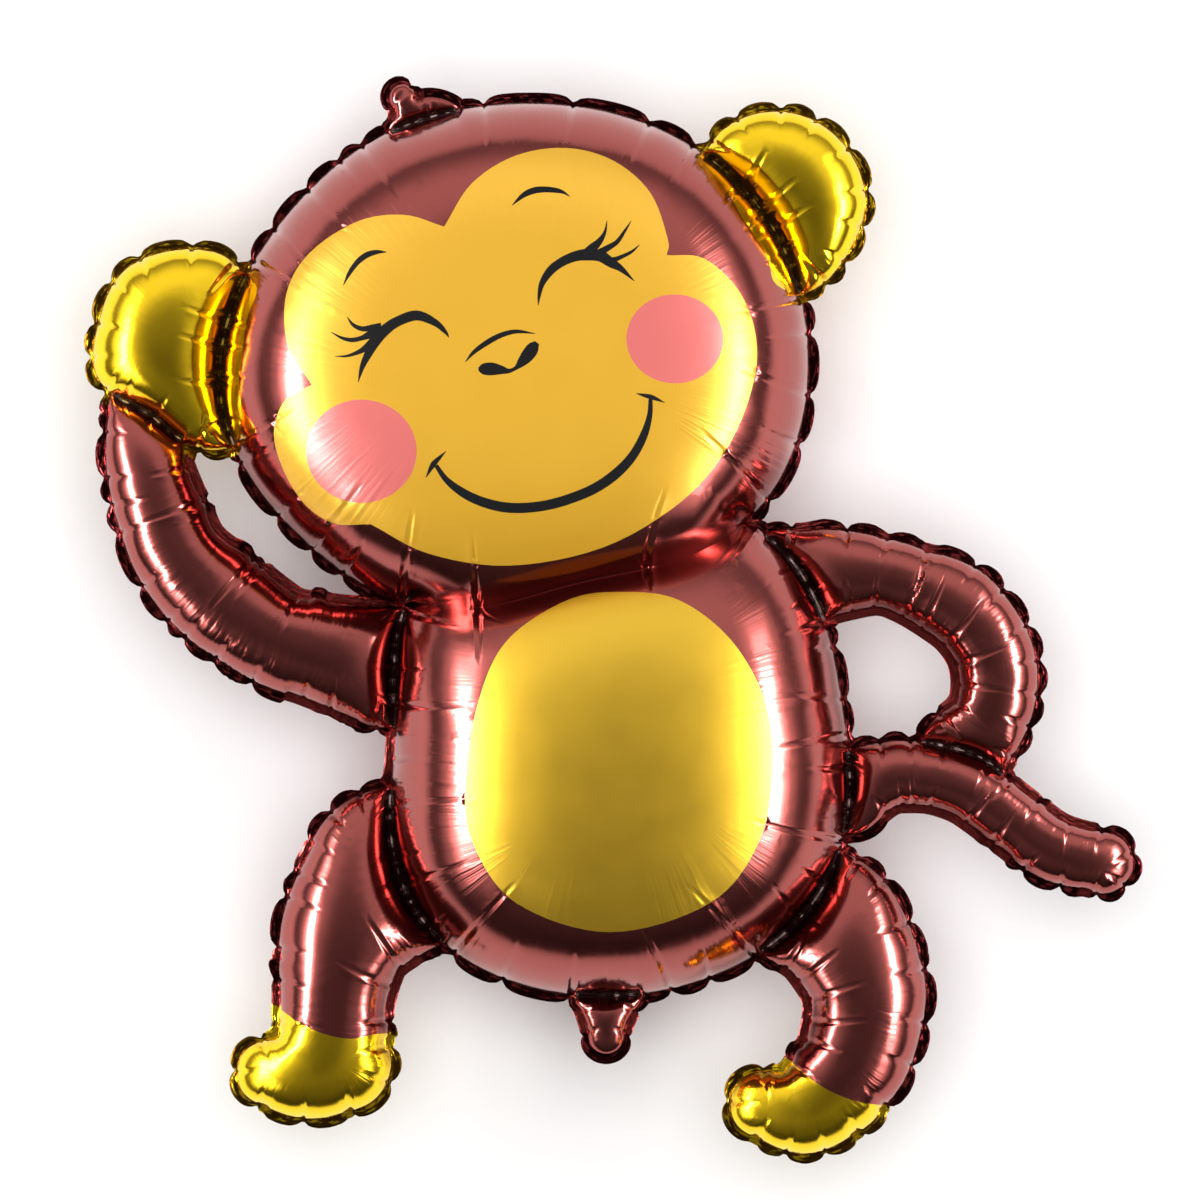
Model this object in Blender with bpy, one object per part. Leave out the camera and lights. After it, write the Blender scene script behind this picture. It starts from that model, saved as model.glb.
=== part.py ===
"""Foil balloon in the shape of a waving monkey, lying on its back and facing up.

Two films are welded together round one outline and filled with gas. Each part of the figure
is a chamber: a plan shape that swells towards its middle. Where two chambers meet, a weld line
divides them, except at the neck, where the film only dips. A flat rim runs round the outline,
with a scalloped edge where the seam has drawn together.

The figure's places are read off a picture in its pixels and turned into millimetres by drawn(),
from HEIGHT. X is to the figure's left hand (the right of the picture), Y is towards the top of
the head, Z is up.
"""

import bmesh
import bpy
import numpy as np
from mathutils import Vector
from mathutils.geometry import delaunay_2d_cdt

# Sizes in metres
HEIGHT = 0.803
DEPTH = 0.118
NECK_DEPTH = 0.070
RIM_WIDTH = 0.0072
RIM_THICKNESS = 0.0008
SCALLOP_DEPTH = 0.0036
SCALLOP_SPACING = 0.033
FLAT_DEPTH = 0.0016
REST_SPOT_RADIUS = 0.024
PRINT_REACH = 0.012
MILLIMETRE = 0.001

# How finely the plan is divided, in metres
SEAM_STEP = 0.0135
RIM_STEP = 0.0066
PRINT_STEP = 0.020
FILL_STEP = 0.021
ROWS_IN = (0.0040, 0.0125, 0.0255)
CROWDING = 0.62

# How the outlines are walked, in metres: first place, stride, and gaps at their corners
WALK_START = (0.900, -0.040)
WALK_STRIDE = 0.0015
CORNER_GAP = 0.004
END_GAP = 0.002
SCALLOP_FADE = 0.008

# The picture that the figure is drawn from, in its pixels: the figure's height and the middle
PICTURE_HEIGHT = 1085
PICTURE_MIDDLE = (613.5, 619)

# Round chambers: places on the seam, read off the picture. Those inside a neighbour are judged
ROUND_SEAMS = {
    "head": [(254, 261), (309, 191), (360, 148), (484, 108), (574, 104), (648, 126),
             (691, 148), (745, 187), (779, 237), (798, 296), (809, 353), (796, 444),
             (765, 503), (737, 528), (700, 551), (640, 570), (560, 590), (476, 605),
             (405, 605), (313, 547), (242, 462), (221, 400), (220, 360), (226, 322),
             (244, 286)],
    "body": [(403, 615), (394, 680), (391, 759), (391, 842), (410, 892), (443, 948),
             (505, 976), (565, 993), (652, 993), (700, 980), (760, 950), (791, 928),
             (824, 888), (845, 821), (851, 770), (845, 725), (836, 664), (815, 600),
             (786, 553), (700, 505), (600, 500), (500, 520), (430, 560)],
    "ear_l": [(237, 268), (192, 248), (141, 261), (114, 283), (98, 324), (94, 357),
              (105, 388), (153, 417), (181, 440), (234, 443), (255, 420), (245, 366),
              (252, 310)],
    "ear_r": [(711, 142), (737, 121), (780, 112), (815, 121), (848, 150), (864, 190),
              (861, 227), (844, 261), (818, 283), (798, 297), (771, 281), (741, 218),
              (705, 165)],
}
# How many waves each of those loops has, and how strongly the short ones are held back
WAVE_COUNTS = {"head": 6, "body": 6, "ear_l": 4, "ear_r": 4}
STIFFNESS = 1e-4

# Long chambers: opposite places on the seams across each, x, y and x, y
LIMBS = {
    "tail": [[(850, 752, 846, 833), (880, 743, 885, 810), (909, 741, 912, 806),
              (945, 746, 932, 808), (980, 757, 952, 815), (1002, 773, 966, 824),
              (1038, 801, 1000, 849), (1070, 823, 1038, 876), (1105, 833, 1100, 893)]],
    "arm_l": [[(381, 727, 389, 607), (304, 699, 330, 600), (254, 681, 300, 595),
               (186, 636, 253, 559), (143, 585, 221, 536), (121, 533, 204, 502),
               (108, 478, 189, 470), (107, 433, 181, 446), (110, 405, 176, 415)]],
    "arm_r": [[(785, 530, 795, 628), (846, 531, 836, 614), (888, 539, 874, 608),
               (927, 550, 901, 617), (975, 568, 931, 636), (1002, 592, 944, 647),
               (1025, 626, 955, 664), (1036, 661, 958, 680), (1036, 694, 957, 696),
               (1027, 725, 951, 714), (1008, 762, 924, 738)]],
    "leg_l": [[(312, 842, 470, 905), (284, 912, 415, 938), (280, 950, 398, 970),
               (279, 995, 388, 1005), (278, 1028, 388, 1032)],
              [(268, 1040, 272, 1105), (312, 1028, 304, 1118), (335, 1015, 351, 1110)]],
    "leg_r": [[(854, 862, 760, 950), (884, 881, 790, 972), (919, 955, 805, 990),
               (925, 1000, 810, 1010), (909, 1065, 803, 1046), (882, 1101, 790, 1062)],
              [(859, 1131, 812, 1040), (806, 1153, 803, 1068), (762, 1137, 764, 1072)]],
    "filling_neck": [[(575, 990, 641, 990), (583, 1013, 630, 1013), (589, 1036, 623, 1036)]],
    "hanging_tab": [[(391, 128, 469, 150), (396, 118, 426, 112), (391, 98, 415, 96)]],
}

# The floor touches the back of the head and of the body here
REST_SPOTS = [(516, 349), (619, 770)]

# Printed areas: curves through these places, with a corner between one curve and the next
FACE_PRINT = [
    [(446, 231), (473, 188), (516, 160), (567, 152), (614, 165), (650, 197), (667, 243),
     (666, 259)],
    [(666, 259), (703, 262), (737, 293), (754, 336), (752, 385), (726, 449), (680, 503),
     (603, 548), (510, 566), (430, 554), (373, 525)],
    [(373, 525), (333, 523), (299, 495), (277, 443), (286, 405), (315, 387)],
    [(315, 387), (291, 348), (289, 297), (312, 256), (360, 225), (406, 219), (446, 231)],
]
BELLY_PRINT = [(622, 592), (678, 600), (730, 640), (763, 700), (771, 765), (757, 840),
               (709, 900), (610, 929), (517, 900), (474, 840), (467, 780), (480, 700),
               (508, 640), (568, 600), (622, 592)]
EAR_BANDS = {
    "ear_l": [(244, 276), (259, 290), (249, 320), (245, 350), (241, 385), (245, 410),
              (258, 432), (236, 442)],
    "ear_r": [(697, 156), (719, 183), (730, 199), (741, 219), (757, 243), (768, 262),
              (773, 284), (795, 297)],
}
FOOT_LINES = {
    "leg_l": [(254, 1002), (276, 1006), (300, 1021), (325, 1032), (352, 1037), (375, 1033),
              (394, 1031), (408, 1022)],
    "leg_r": [(772, 1049), (785, 1057), (817, 1082), (840, 1094), (862, 1101), (903, 1108)],
}

COLOURS = {
    "brown_film": (0.20, 0.045, 0.05),
    "gold_film": (0.85, 0.56, 0.05),
    "face_print": (0.95, 0.55, 0.05),
    "belly_print": (0.75, 0.50, 0.03),
}


def drawn(points):
    """Places on the plan, in millimetres, of places in the picture."""
    size = HEIGHT / MILLIMETRE / PICTURE_HEIGHT
    x, y = np.array(points, float).T
    return np.stack([(x - PICTURE_MIDDLE[0]) * size, (PICTURE_MIDDLE[1] - y) * size], axis=1)


def smooth_curve(points, parts):
    """Points on a smooth curve through the given ones, closed if its ends are the same."""
    knots = np.array(points, float)
    if np.allclose(knots[0], knots[-1]):
        knots = np.vstack([knots[-2], knots, knots[1]])
    else:
        knots = np.vstack([2 * knots[0] - knots[1], knots, 2 * knots[-1] - knots[-2]])
    run = []
    for i in range(1, len(knots) - 2):
        a, b, c, d = knots[i - 1:i + 3]
        for t in np.arange(parts) / parts:
            run.append(0.5 * (2 * b + (c - a) * t + (2 * a - 5 * b + 4 * c - d) * t * t
                              + (3 * b - a - 3 * c + d) * t ** 3))
    run.append(knots[-2])
    return np.array(run)


def round_shape(name):
    """A smooth loop close to the places on a seam: its centre, mean radius and waves."""
    points = drawn(ROUND_SEAMS[name])
    centre = (points.max(axis=0) + points.min(axis=0)) / 2
    away = points - centre
    angle = np.arctan2(away[:, 1], away[:, 0])
    parts, hold = [np.ones(len(angle))], [0.0]
    for k in range(1, round(WAVE_COUNTS[name]) + 1):
        parts += [np.cos(k * angle), np.sin(k * angle)]
        hold += [STIFFNESS * k ** 4] * 2
    parts = np.array(parts)
    radius = np.linalg.solve(parts @ parts.T + np.diag(hold), parts @ np.hypot(*away.T))
    return centre[0], centre[1], radius[0], radius[1:].reshape(-1, 2)


def limb_circles(pairs):
    """Circles across a limb, each through two opposite places on its seams."""
    first, second = drawn([p[:2] for p in pairs]), drawn([p[2:] for p in pairs])
    return np.column_stack([(first + second) / 2, np.hypot(*(first - second).T) / 2])


def round_distance(shape, p):
    """About how far each point lies outside a round chamber."""
    x, y, mean, waves = shape
    dx, dy = p[:, 0] - x, p[:, 1] - y
    angle, reach = np.arctan2(dy, dx), np.maximum(np.hypot(dx, dy), 1.0)
    radius, turn = np.full(len(p), mean), np.zeros(len(p))
    for k, (c, s) in enumerate(waves, 1):
        radius += c * np.cos(k * angle) + s * np.sin(k * angle)
        turn += k * (s * np.cos(k * angle) - c * np.sin(k * angle))
    return (reach - radius) / np.hypot(1.0, turn / reach)


def long_distance(circles, p):
    """How far each point lies outside a row of circles that are close together."""
    gaps = np.hypot(p[:, 0, None] - circles[:, 0], p[:, 1, None] - circles[:, 1])
    return (gaps - circles[:, 2]).min(axis=1)


def chambers():
    """Distance functions by name, from the one that keeps its whole outline to the last."""
    def of_round(shape):
        return lambda p: round_distance(shape, p)

    def of_long(rows):
        circles = np.vstack([smooth_curve(limb_circles(row), 10) for row in rows])
        return lambda p: long_distance(circles, p)

    shapes = {name: of_round(round_shape(name)) for name in ROUND_SEAMS}
    shapes.update({name: of_long(rows) for name, rows in LIMBS.items()})
    return shapes


def settle(away, p, level):
    """Move one point onto the line where a distance function has this level."""
    for _ in range(4):
        near = away(np.array([p, p + (0.01, 0), p + (0, 0.01)]))
        slope = (near[1:] - near[0]) / 0.01
        p = p - slope * (near[0] - level) / max(slope @ slope, 0.2)
    return p, slope / np.hypot(*slope)


def trace(away, level):
    """Walk once anticlockwise round a chamber, at one distance from its outline."""
    step = WALK_STRIDE / MILLIMETRE
    p, slope = settle(away, np.array(WALK_START) / MILLIMETRE, level)
    p, slope = settle(away, p, level)
    run = [p]
    while len(run) < 6 or np.hypot(*(p - run[0])) > step * 0.8:
        p, slope = settle(away, p + step * np.array([-slope[1], slope[0]]), level)
        run.append(p)
    return np.array(run[:-1])


def cut_into_arcs(shapes, level):
    """Trace every chamber and cut it where others cover it.

    Gives arcs as (kind, name, points). Kind is "edge" where nothing covers the line and
    "weld" where it runs inside chambers that come later. What lies inside earlier
    chambers is left out.
    """
    names = list(shapes)
    arcs = []
    corners = []
    for place, name in enumerate(names):
        run = trace(shapes[name], level)
        far = np.full(len(run), 1e9)
        over = np.min([far] + [shapes[n](run) for n in names[:place]], axis=0) - level
        under = np.min([far] + [shapes[n](run) for n in names[place + 1:]], axis=0) - level
        kind = np.where(over < 0, 0, np.where(under < 0, 1, 2))
        changes = np.flatnonzero(kind != np.roll(kind, -1))
        if len(changes) == 0:
            arcs.append(["edge", name, np.vstack([run, run[:1]])])
            continue
        for i, j in zip(changes, np.roll(changes, -1)):
            inside = np.arange(i + 1, j + 1 + (len(run) if j <= i else 0)) % len(run)
            state = kind[inside[0]]
            ends = []
            for a in (i, j):
                b = (a + 1) % len(run)
                lead = over if 0 in (kind[a], kind[b]) else under
                share = lead[a] / (lead[a] - lead[b])
                cut = run[a] + share * (run[b] - run[a])
                near = [c for c in corners
                        if np.hypot(*(c - cut)) < CORNER_GAP / MILLIMETRE]
                if not near:
                    corners.append(cut)
                ends.append(near[0] if near else cut)
            if state == 0 or np.hypot(*(ends[0] - ends[1])) < 1e-6 and len(inside) < 20:
                continue
            middle = run[inside]
            for end in ends:
                middle = middle[np.hypot(*(middle - end).T) > END_GAP / MILLIMETRE]
            points = np.vstack([ends[0], middle, ends[1]])
            arcs.append(["weld" if state == 1 else "edge", name, points])
    return arcs


def measured(points):
    """Length along a line, up to each of its points."""
    return np.concatenate([[0], np.cumsum(np.hypot(*np.diff(points, axis=0).T))])


def respaced(points, step):
    """The same line with points at one even spacing near the step."""
    along = measured(points)
    count = max(1, round(along[-1] / step))
    at = np.linspace(0, along[-1], count + 1)
    return np.stack([np.interp(at, along, points[:, k]) for k in (0, 1)], axis=1)


def scalloped(points):
    """Rim edge drawn in at even spacings, where the line is long and bulges outwards."""
    line = respaced(points, RIM_STEP / MILLIMETRE)
    along = measured(line)
    lobes = max(1, round(along[-1] * MILLIMETRE / SCALLOP_SPACING))
    per_lobe = max(4, round(along[-1] * MILLIMETRE / lobes / RIM_STEP))
    line = respaced(points, along[-1] / (lobes * per_lobe))
    along = measured(line)
    ahead = np.gradient(line, axis=0)
    ahead /= np.hypot(*ahead.T)[:, None]
    outward = np.stack([ahead[:, 1], -ahead[:, 0]], axis=1)
    turn = np.gradient(np.unwrap(np.arctan2(ahead[:, 1], ahead[:, 0]))) / np.gradient(along)
    spread = np.exp(-np.linspace(-2, 2, 9) ** 2)
    turn = np.convolve(np.pad(turn, 4, mode="edge"), spread / spread.sum(), "valid")
    bulge = np.clip((turn + 0.001) / 0.003, 0, 1)
    fade = np.clip(np.minimum(along, along[-1] - along) * MILLIMETRE / SCALLOP_FADE, 0, 1)
    if np.hypot(*(points[0] - points[-1])) < 1e-6:
        fade[:] = 1
    pull = 1 - np.abs(np.sin(np.pi * np.arange(len(line)) / per_lobe))
    inward = SCALLOP_DEPTH / MILLIMETRE * pull * bulge * fade
    return line - outward * inward[:, None]


def face_curve():
    """The face's printed outline, closed."""
    return np.vstack([smooth_curve(drawn(run), 6) for run in FACE_PRINT])


def belly_curve():
    """The belly's printed outline, closed."""
    return smooth_curve(drawn(BELLY_PRINT), 8)


def segments(lines):
    """Start and end points of every stretch of the lines."""
    return (np.vstack([line[:-1] for line in lines]), np.vstack([line[1:] for line in lines]))


def is_within(p, lines):
    """Which points are enclosed by lines that together make closed loops."""
    a, b = segments(lines)
    x, y = p[:, 0, None], p[:, 1, None]
    spans = (a[:, 1] > y) != (b[:, 1] > y)
    rise = np.where(a[:, 1] == b[:, 1], 1.0, b[:, 1] - a[:, 1])
    crossing = a[:, 0] + (y - a[:, 1]) * (b[:, 0] - a[:, 0]) / rise
    return (spans & (x < crossing)).sum(axis=1) % 2 == 1


def clearance(p, lines):
    """Distance from each point to the nearest stretch of the lines."""
    a, b = segments(lines)
    run = b - a
    span = np.maximum((run ** 2).sum(axis=1), 1e-9)
    share = ((p[:, None] - a) * run).sum(axis=2) / span
    nearest = a + np.clip(share, 0, 1)[:, :, None] * run
    return np.hypot(*np.moveaxis(p[:, None] - nearest, 2, 0)).min(axis=1)


def fill_points(fixed, seams, outline):
    """Points inside the chambers: rows that follow seams and limbs, then an even field."""
    wanted = []
    for line in seams:
        middle = (line[:-1] + line[1:]) / 2
        along = line[1:] - line[:-1]
        side = np.stack([along[:, 1], -along[:, 0]], axis=1) / np.hypot(*along.T)[:, None]
        for depth, base in zip(ROWS_IN, (middle, line[1:], middle)):
            for sign in (-1, 1):
                wanted.append((base + sign * side * depth / MILLIMETRE, depth / MILLIMETRE,
                               SEAM_STEP / MILLIMETRE))
    for row in (row for rows in LIMBS.values() for row in rows):
        middle = respaced(smooth_curve(limb_circles(row), 6)[:, :2], SEAM_STEP / MILLIMETRE)
        wanted.append((middle, SEAM_STEP / MILLIMETRE, SEAM_STEP / MILLIMETRE))
    spots = []
    around = np.linspace(0, 2 * np.pi, 12, endpoint=False)
    ring = np.stack([np.cos(around), np.sin(around)], axis=1)
    for spot in drawn(REST_SPOTS):
        spots.append(np.array([spot]))
        spots.append(spot + ring * REST_SPOT_RADIUS / MILLIMETRE)
    wanted.insert(0, (np.vstack(spots), 0.0, 0.0))
    step = FILL_STEP / MILLIMETRE
    low, high = np.vstack(outline).min(axis=0), np.vstack(outline).max(axis=0)
    rows = np.arange(low[1], high[1], step * np.sqrt(0.75))
    grid = [(x + (i % 2) * step / 2, y) for i, y in enumerate(rows)
            for x in np.arange(low[0], high[0], step)]
    wanted.append((np.array(grid), ROWS_IN[-1] / MILLIMETRE + step * 0.42, step))
    taken = np.vstack(fixed)
    inner = []
    for group, depth, spacing in wanted:
        group = group[is_within(group, outline)]
        group = group[clearance(group, seams) > depth * 0.8]
        for p in group:
            if np.hypot(*(taken - p).T).min() > spacing * CROWDING:
                taken = np.vstack([taken, p])
                inner.append(p)
    return np.array(inner)


def plan_mesh(shapes):
    """Divide the plan into triangles along seams, rim and printed outlines."""
    seams = [[kind, name, respaced(points, SEAM_STEP / MILLIMETRE)]
             for kind, name, points in cut_into_arcs(shapes, 0.0)]
    rim = [scalloped(points)
           for kind, name, points in cut_into_arcs(shapes, RIM_WIDTH / MILLIMETRE)
           if kind == "edge"]
    outline = [points for kind, name, points in seams if kind == "edge"]
    neck = [points for kind, name, points in seams if kind == "weld" and name == "head"
            and shapes["body"](points[len(points) // 2][None])[0] < -1]
    prints = [respaced(smooth_curve(drawn(run), 6), PRINT_STEP / MILLIMETRE)
              for run in FACE_PRINT + list(EAR_BANDS.values()) + list(FOOT_LINES.values())]
    prints.append(respaced(belly_curve(), PRINT_STEP / MILLIMETRE))
    lines = [points for kind, name, points in seams] + rim + prints
    seam_count = sum(len(points) - 1 for kind, name, points in seams)
    neck_edges = []
    corners, edges, index = [], [], {}
    for line in lines:
        keys = []
        for p in line:
            key = (round(p[0], 2), round(p[1], 2))
            if key not in index:
                index[key] = len(corners)
                corners.append(Vector(p))
            keys.append(index[key])
        if any(line is n for n in neck):
            neck_edges += range(len(edges), len(edges) + len(line) - 1)
        edges += list(zip(keys[:-1], keys[1:]))
    inner = fill_points(lines, [points for kind, name, points in seams], outline)
    corners += [Vector(p) for p in inner]
    out, out_edges, faces, _, edge_from, _ = delaunay_2d_cdt(corners, edges, [], 0, 1e-4)
    plan = np.array([tuple(v) for v in out])
    faces = np.array(faces)
    flat, level = np.zeros(len(plan), bool), np.zeros(len(plan), bool)
    for edge, sources in zip(out_edges, edge_from):
        if any(s < seam_count for s in sources):
            flat[list(edge)] = True
        if any(s in neck_edges for s in sources):
            level[list(edge)] = True
    faces = faces[is_within(plan[faces].mean(axis=1), rim)]
    return plan, faces, flat, level, outline


def swell(shapes, plan, faces, flat, level, outline):
    """Half-thickness of the filled balloon at each point of the plan."""
    inflated = is_within(plan[faces].mean(axis=1), outline)
    tri = faces[inflated]
    free = np.zeros(len(plan), bool)
    free[tri] = True
    free &= ~(flat | level)
    stiff = np.zeros((len(plan), len(plan)))
    load = np.zeros(len(plan))
    for k in range(3):
        i, j, o = tri[:, k], tri[:, (k + 1) % 3], tri[:, (k + 2) % 3]
        u, v = plan[i] - plan[o], plan[j] - plan[o]
        cross = u[:, 0] * v[:, 1] - u[:, 1] * v[:, 0]
        weight = 0.5 * (u * v).sum(axis=1) / np.abs(cross)
        np.add.at(stiff, (i, j), -weight)
        np.add.at(stiff, (j, i), -weight)
        np.add.at(stiff, (i, i), weight)
        np.add.at(stiff, (j, j), weight)
        np.add.at(load, i, np.abs(cross) / 6)
    pressed = np.zeros(len(plan))
    across = plan[level, 0]
    if len(across):
        share = (across - across.mean()) / (np.ptp(across) / 2)
        arch = NECK_DEPTH / MILLIMETRE * np.sqrt(np.clip(1 - np.abs(share) ** 2.4, 0, 1))
        pressed[level] = arch ** 2 / 2
    inner = np.flatnonzero(free)
    given = load[inner] - stiff[inner] @ pressed
    pressed[inner] = np.linalg.solve(stiff[np.ix_(inner, inner)], given)
    half = np.sqrt(2 * np.maximum(pressed, 0))
    on_head = shapes["head"](plan) < -1
    on_body = (shapes["body"](plan) < -1) & ~on_head
    for part in (on_head & ~level, on_body & ~level):
        top = half[part].max()
        room = (top / (DEPTH / MILLIMETRE)) ** 4 - 1
        if room > 0:
            half[part] = half[part] / (1 + room * (half[part] / top) ** 4) ** 0.25
        else:
            half[part] *= DEPTH / MILLIMETRE / top
    return half, inflated


def colour_index(centres, shapes):
    """Which printed colour each face has."""
    index = np.zeros(len(centres), int)
    reach = PRINT_REACH / MILLIMETRE
    away = np.minimum(shapes["ear_l"](centres), shapes["ear_r"](centres))
    gold = away < 0
    for name, band in EAR_BANDS.items():
        middle = drawn(ROUND_SEAMS[name]).mean(axis=0)
        curve = smooth_curve(drawn(band), 6)
        gold |= is_within(centres, [np.vstack([curve, middle, curve[:1]])])
    gold |= (away < reach) & (shapes["head"](centres) > 0) & (shapes["arm_l"](centres) > 0)
    for name, line in FOOT_LINES.items():
        curve = smooth_curve(drawn(line), 6)
        below = centres[:, 1] < np.interp(centres[:, 0], curve[:, 0], curve[:, 1])
        gold |= below & (shapes[name](centres) < reach)
    index[gold] = 1
    index[is_within(centres, [face_curve()])] = 2
    index[is_within(centres, [belly_curve()])] = 3
    return index


def material(name, colour, shine):
    """One plain metallic surface."""
    mat = bpy.data.materials.new(name)
    mat.use_nodes = True
    shader = mat.node_tree.nodes["Principled BSDF"]
    shader.inputs["Base Color"].default_value = (*colour, 1)
    shader.inputs["Metallic"].default_value = shine
    shader.inputs["Roughness"].default_value = 0.2
    return mat


def build():
    """Make the balloon as one closed body that rests on the floor."""
    shapes = chambers()
    plan, faces, flat, level, outline = plan_mesh(shapes)
    half, inflated = swell(shapes, plan, faces, flat, level, outline)
    used = np.unique(faces)
    place = np.full(len(plan), -1)
    place[used] = np.arange(len(used))
    plan, half, faces = plan[used] * MILLIMETRE, half[used] * MILLIMETRE, place[faces]
    skin = RIM_THICKNESS / 2
    floor = -(DEPTH + skin - FLAT_DEPTH)
    front, back = skin + half, np.maximum(-skin - half, floor)
    for spot in drawn(REST_SPOTS):
        near = np.hypot(*(plan - spot * MILLIMETRE).T) < REST_SPOT_RADIUS * 1.01
        back[near] = floor
    count = len(plan)
    points = np.vstack([np.column_stack([plan, front]), np.column_stack([plan, back])])
    middle = (points[:, :2].max(axis=0) + points[:, :2].min(axis=0)) / 2
    points[:, :2] -= middle
    points[:, 2] -= floor

    cross = np.cross(plan[faces[:, 1]] - plan[faces[:, 0]], plan[faces[:, 2]] - plan[faces[:, 0]])
    faces[cross < 0] = faces[cross < 0][:, ::-1]
    edges = np.vstack([faces[:, [0, 1]], faces[:, [1, 2]], faces[:, [2, 0]]])
    known = {tuple(edge) for edge in edges}
    border = [edge for edge in edges if (edge[1], edge[0]) not in known]
    walls = [(a, a + count, b + count, b) for a, b in border]

    colours = colour_index(plan[faces].mean(axis=1) / MILLIMETRE, shapes)
    mesh = bpy.data.meshes.new("foil_balloon")
    solid = [tuple(f) for f in faces] + [tuple(f[::-1] + count) for f in faces] + walls
    mesh.from_pydata([tuple(p) for p in points], [], solid)
    for name, colour in COLOURS.items():
        shine = 0.4 if name == "face_print" else 0.9
        mesh.materials.append(material(name, colour, shine))
    edge_colour = {}
    for face, colour in zip(faces, colours):
        for k in range(3):
            edge_colour[(face[k], face[(k + 1) % 3])] = colour
    back_colours = np.where(colours >= 2, 0, colours)
    wall_colours = [edge_colour[tuple(edge)] for edge in border]
    slots = np.concatenate([colours, back_colours, wall_colours]).astype(int)
    mesh.polygons.foreach_set("material_index", slots)
    round_faces = np.concatenate([inflated, inflated, np.zeros(len(walls), bool)])
    mesh.polygons.foreach_set("use_smooth", round_faces)
    balloon = bpy.data.objects.new("foil_balloon", mesh)
    bpy.context.scene.collection.objects.link(balloon)
    tidy = bmesh.new()
    tidy.from_mesh(mesh)
    bmesh.ops.triangulate(tidy, faces=tidy.faces[:])
    tidy.to_mesh(mesh)
    tidy.free()
    mesh.update()


for old in list(bpy.data.objects):
    bpy.data.objects.remove(old)
build()
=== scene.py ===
"""Look of the monkey foil balloon: its printed film, finely meshed over the CAD's chambers.

The drawing is the one that the CAD solid is built from: places read off the picture in its
pixels, turned into millimetres by drawn(), with X towards the figure's lowered arm and Y
towards the top of the head. What the film adds is the drawn-in seam, the creases that run in
from it, the lobed and slightly wavy rim, and the print. Lengths are in millimetres until the
mesh is made, except where a comment says metres.
"""

import math

import bpy
import numpy as np
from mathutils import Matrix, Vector
from mathutils.geometry import delaunay_2d_cdt
from mathutils.kdtree import KDTree


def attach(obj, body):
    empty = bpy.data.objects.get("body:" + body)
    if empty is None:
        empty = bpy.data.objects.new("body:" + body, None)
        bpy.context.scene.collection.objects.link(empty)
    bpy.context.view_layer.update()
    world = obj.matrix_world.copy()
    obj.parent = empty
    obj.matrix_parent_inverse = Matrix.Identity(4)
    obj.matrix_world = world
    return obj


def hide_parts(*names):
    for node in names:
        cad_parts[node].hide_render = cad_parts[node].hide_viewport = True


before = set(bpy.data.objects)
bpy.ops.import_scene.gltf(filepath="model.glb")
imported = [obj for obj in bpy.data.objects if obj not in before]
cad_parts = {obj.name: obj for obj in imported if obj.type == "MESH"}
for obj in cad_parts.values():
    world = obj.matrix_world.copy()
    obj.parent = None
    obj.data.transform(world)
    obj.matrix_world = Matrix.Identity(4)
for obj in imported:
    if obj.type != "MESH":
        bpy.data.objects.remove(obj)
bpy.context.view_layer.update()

# The picture that the figure is drawn from, in its pixels: the figure's height and the middle
PICTURE_HEIGHT = 1085
PICTURE_MIDDLE = (613.5, 619)

# The figure's real height, in metres, and the millimetres that a pixel stands for
HEIGHT = 0.803
MILLIMETRE = 0.001
PIXEL = HEIGHT / MILLIMETRE / PICTURE_HEIGHT

# Film: half-depth of the balloon and of its neck, then the rim
DEPTH = 118.0
NECK_DEPTH = 70.0
RIM_WIDTH = 7.2
RIM_MARGIN = 1
RIM_THICKNESS = 0.3
CAD_RIM_THICKNESS = 0.8
FLAT_DEPTH = 1.6
RIM_MESH_ROWS = (0.35, 0.7)

# The CAD's scalloped rim, which says where the middle of the frame is
RIM_STEP = 6.6
SCALLOP_SPACING = 33.0
SCALLOP_DEPTH = 3.6
SCALLOP_FADE = 8.0
# A line counts as bulging unless it bends inwards by more than this, in radians a millimetre
INWARD_BEND = 0.001

# How the seam bulges between its pinches, and the rim's edge draws in at them
SEAM_BULGE = 2.0
RIM_PULL = 5.4
LOBE_REACH = 1.2
TAUT_PULL = 1.8
CUSP_WIDTH = 4.6
CUSP_DIP = 0.16
CUSP_FADE = 6
# A weld between chambers: half its width, how far painted shade darkens it and the film beside it, and how
# its sides even out
WELD_HALF = 1.5
WELD_PAINTED_SHADE = 2.4
WELD_FADE = 8
WELD_WAVE = 0.35
# Fine gathers start this far from a seam, weaker and farther from a weld, and they fade out
# this near to where the nearest seam changes
GATHER_START = 7
WELD_GATHER_START = 8
WELD_GATHER_EASE = 16
WELD_GATHER = 0.6
TURNOVER = 7.0
# Unevenness of the film: how high, and how long its waves are
WAVE_HEIGHT = 1.1
WAVE_LENGTH = 8.5
RIPPLE_HEIGHT = 0.45
RIPPLE_LENGTH = 4.3
RIPPLE_FADE = 24
BULGE_FADE = 9

# Rows of mesh that follow the seams: depth, then spacing in seam steps
SEAM_STEP = 2.6
ROWS = [(0.8, 1), (2.0, 1), (3.6, 1), (5.6, 1), (8.0, 1), (11.0, 1.3), (14.6, 1.6),
        (19.0, 1.8), (24.5, 2), (30.5, 2.1), (37.0, 2.2), (44.0, 2.3)]
# How close points may crowd, and how far off the seams they start, for rows, fill and creases
ROW_CROWDING = 0.42
ROW_CLEAR = 0.92
FILL_STEP = 6.2
FILL_ROW_SHARE = 0.866
FILL_CROWDING = 0.62
FILL_CLEAR = 3
CREASE_CROWDING = 0.9
CREASE_CLEAR = 0.5
RIM_CROWDING = 1.2
PLAN_REACH = 420
# Lengths along the seams are kept this far apart from one seam to the next
SEAM_APART = 700.0

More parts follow.
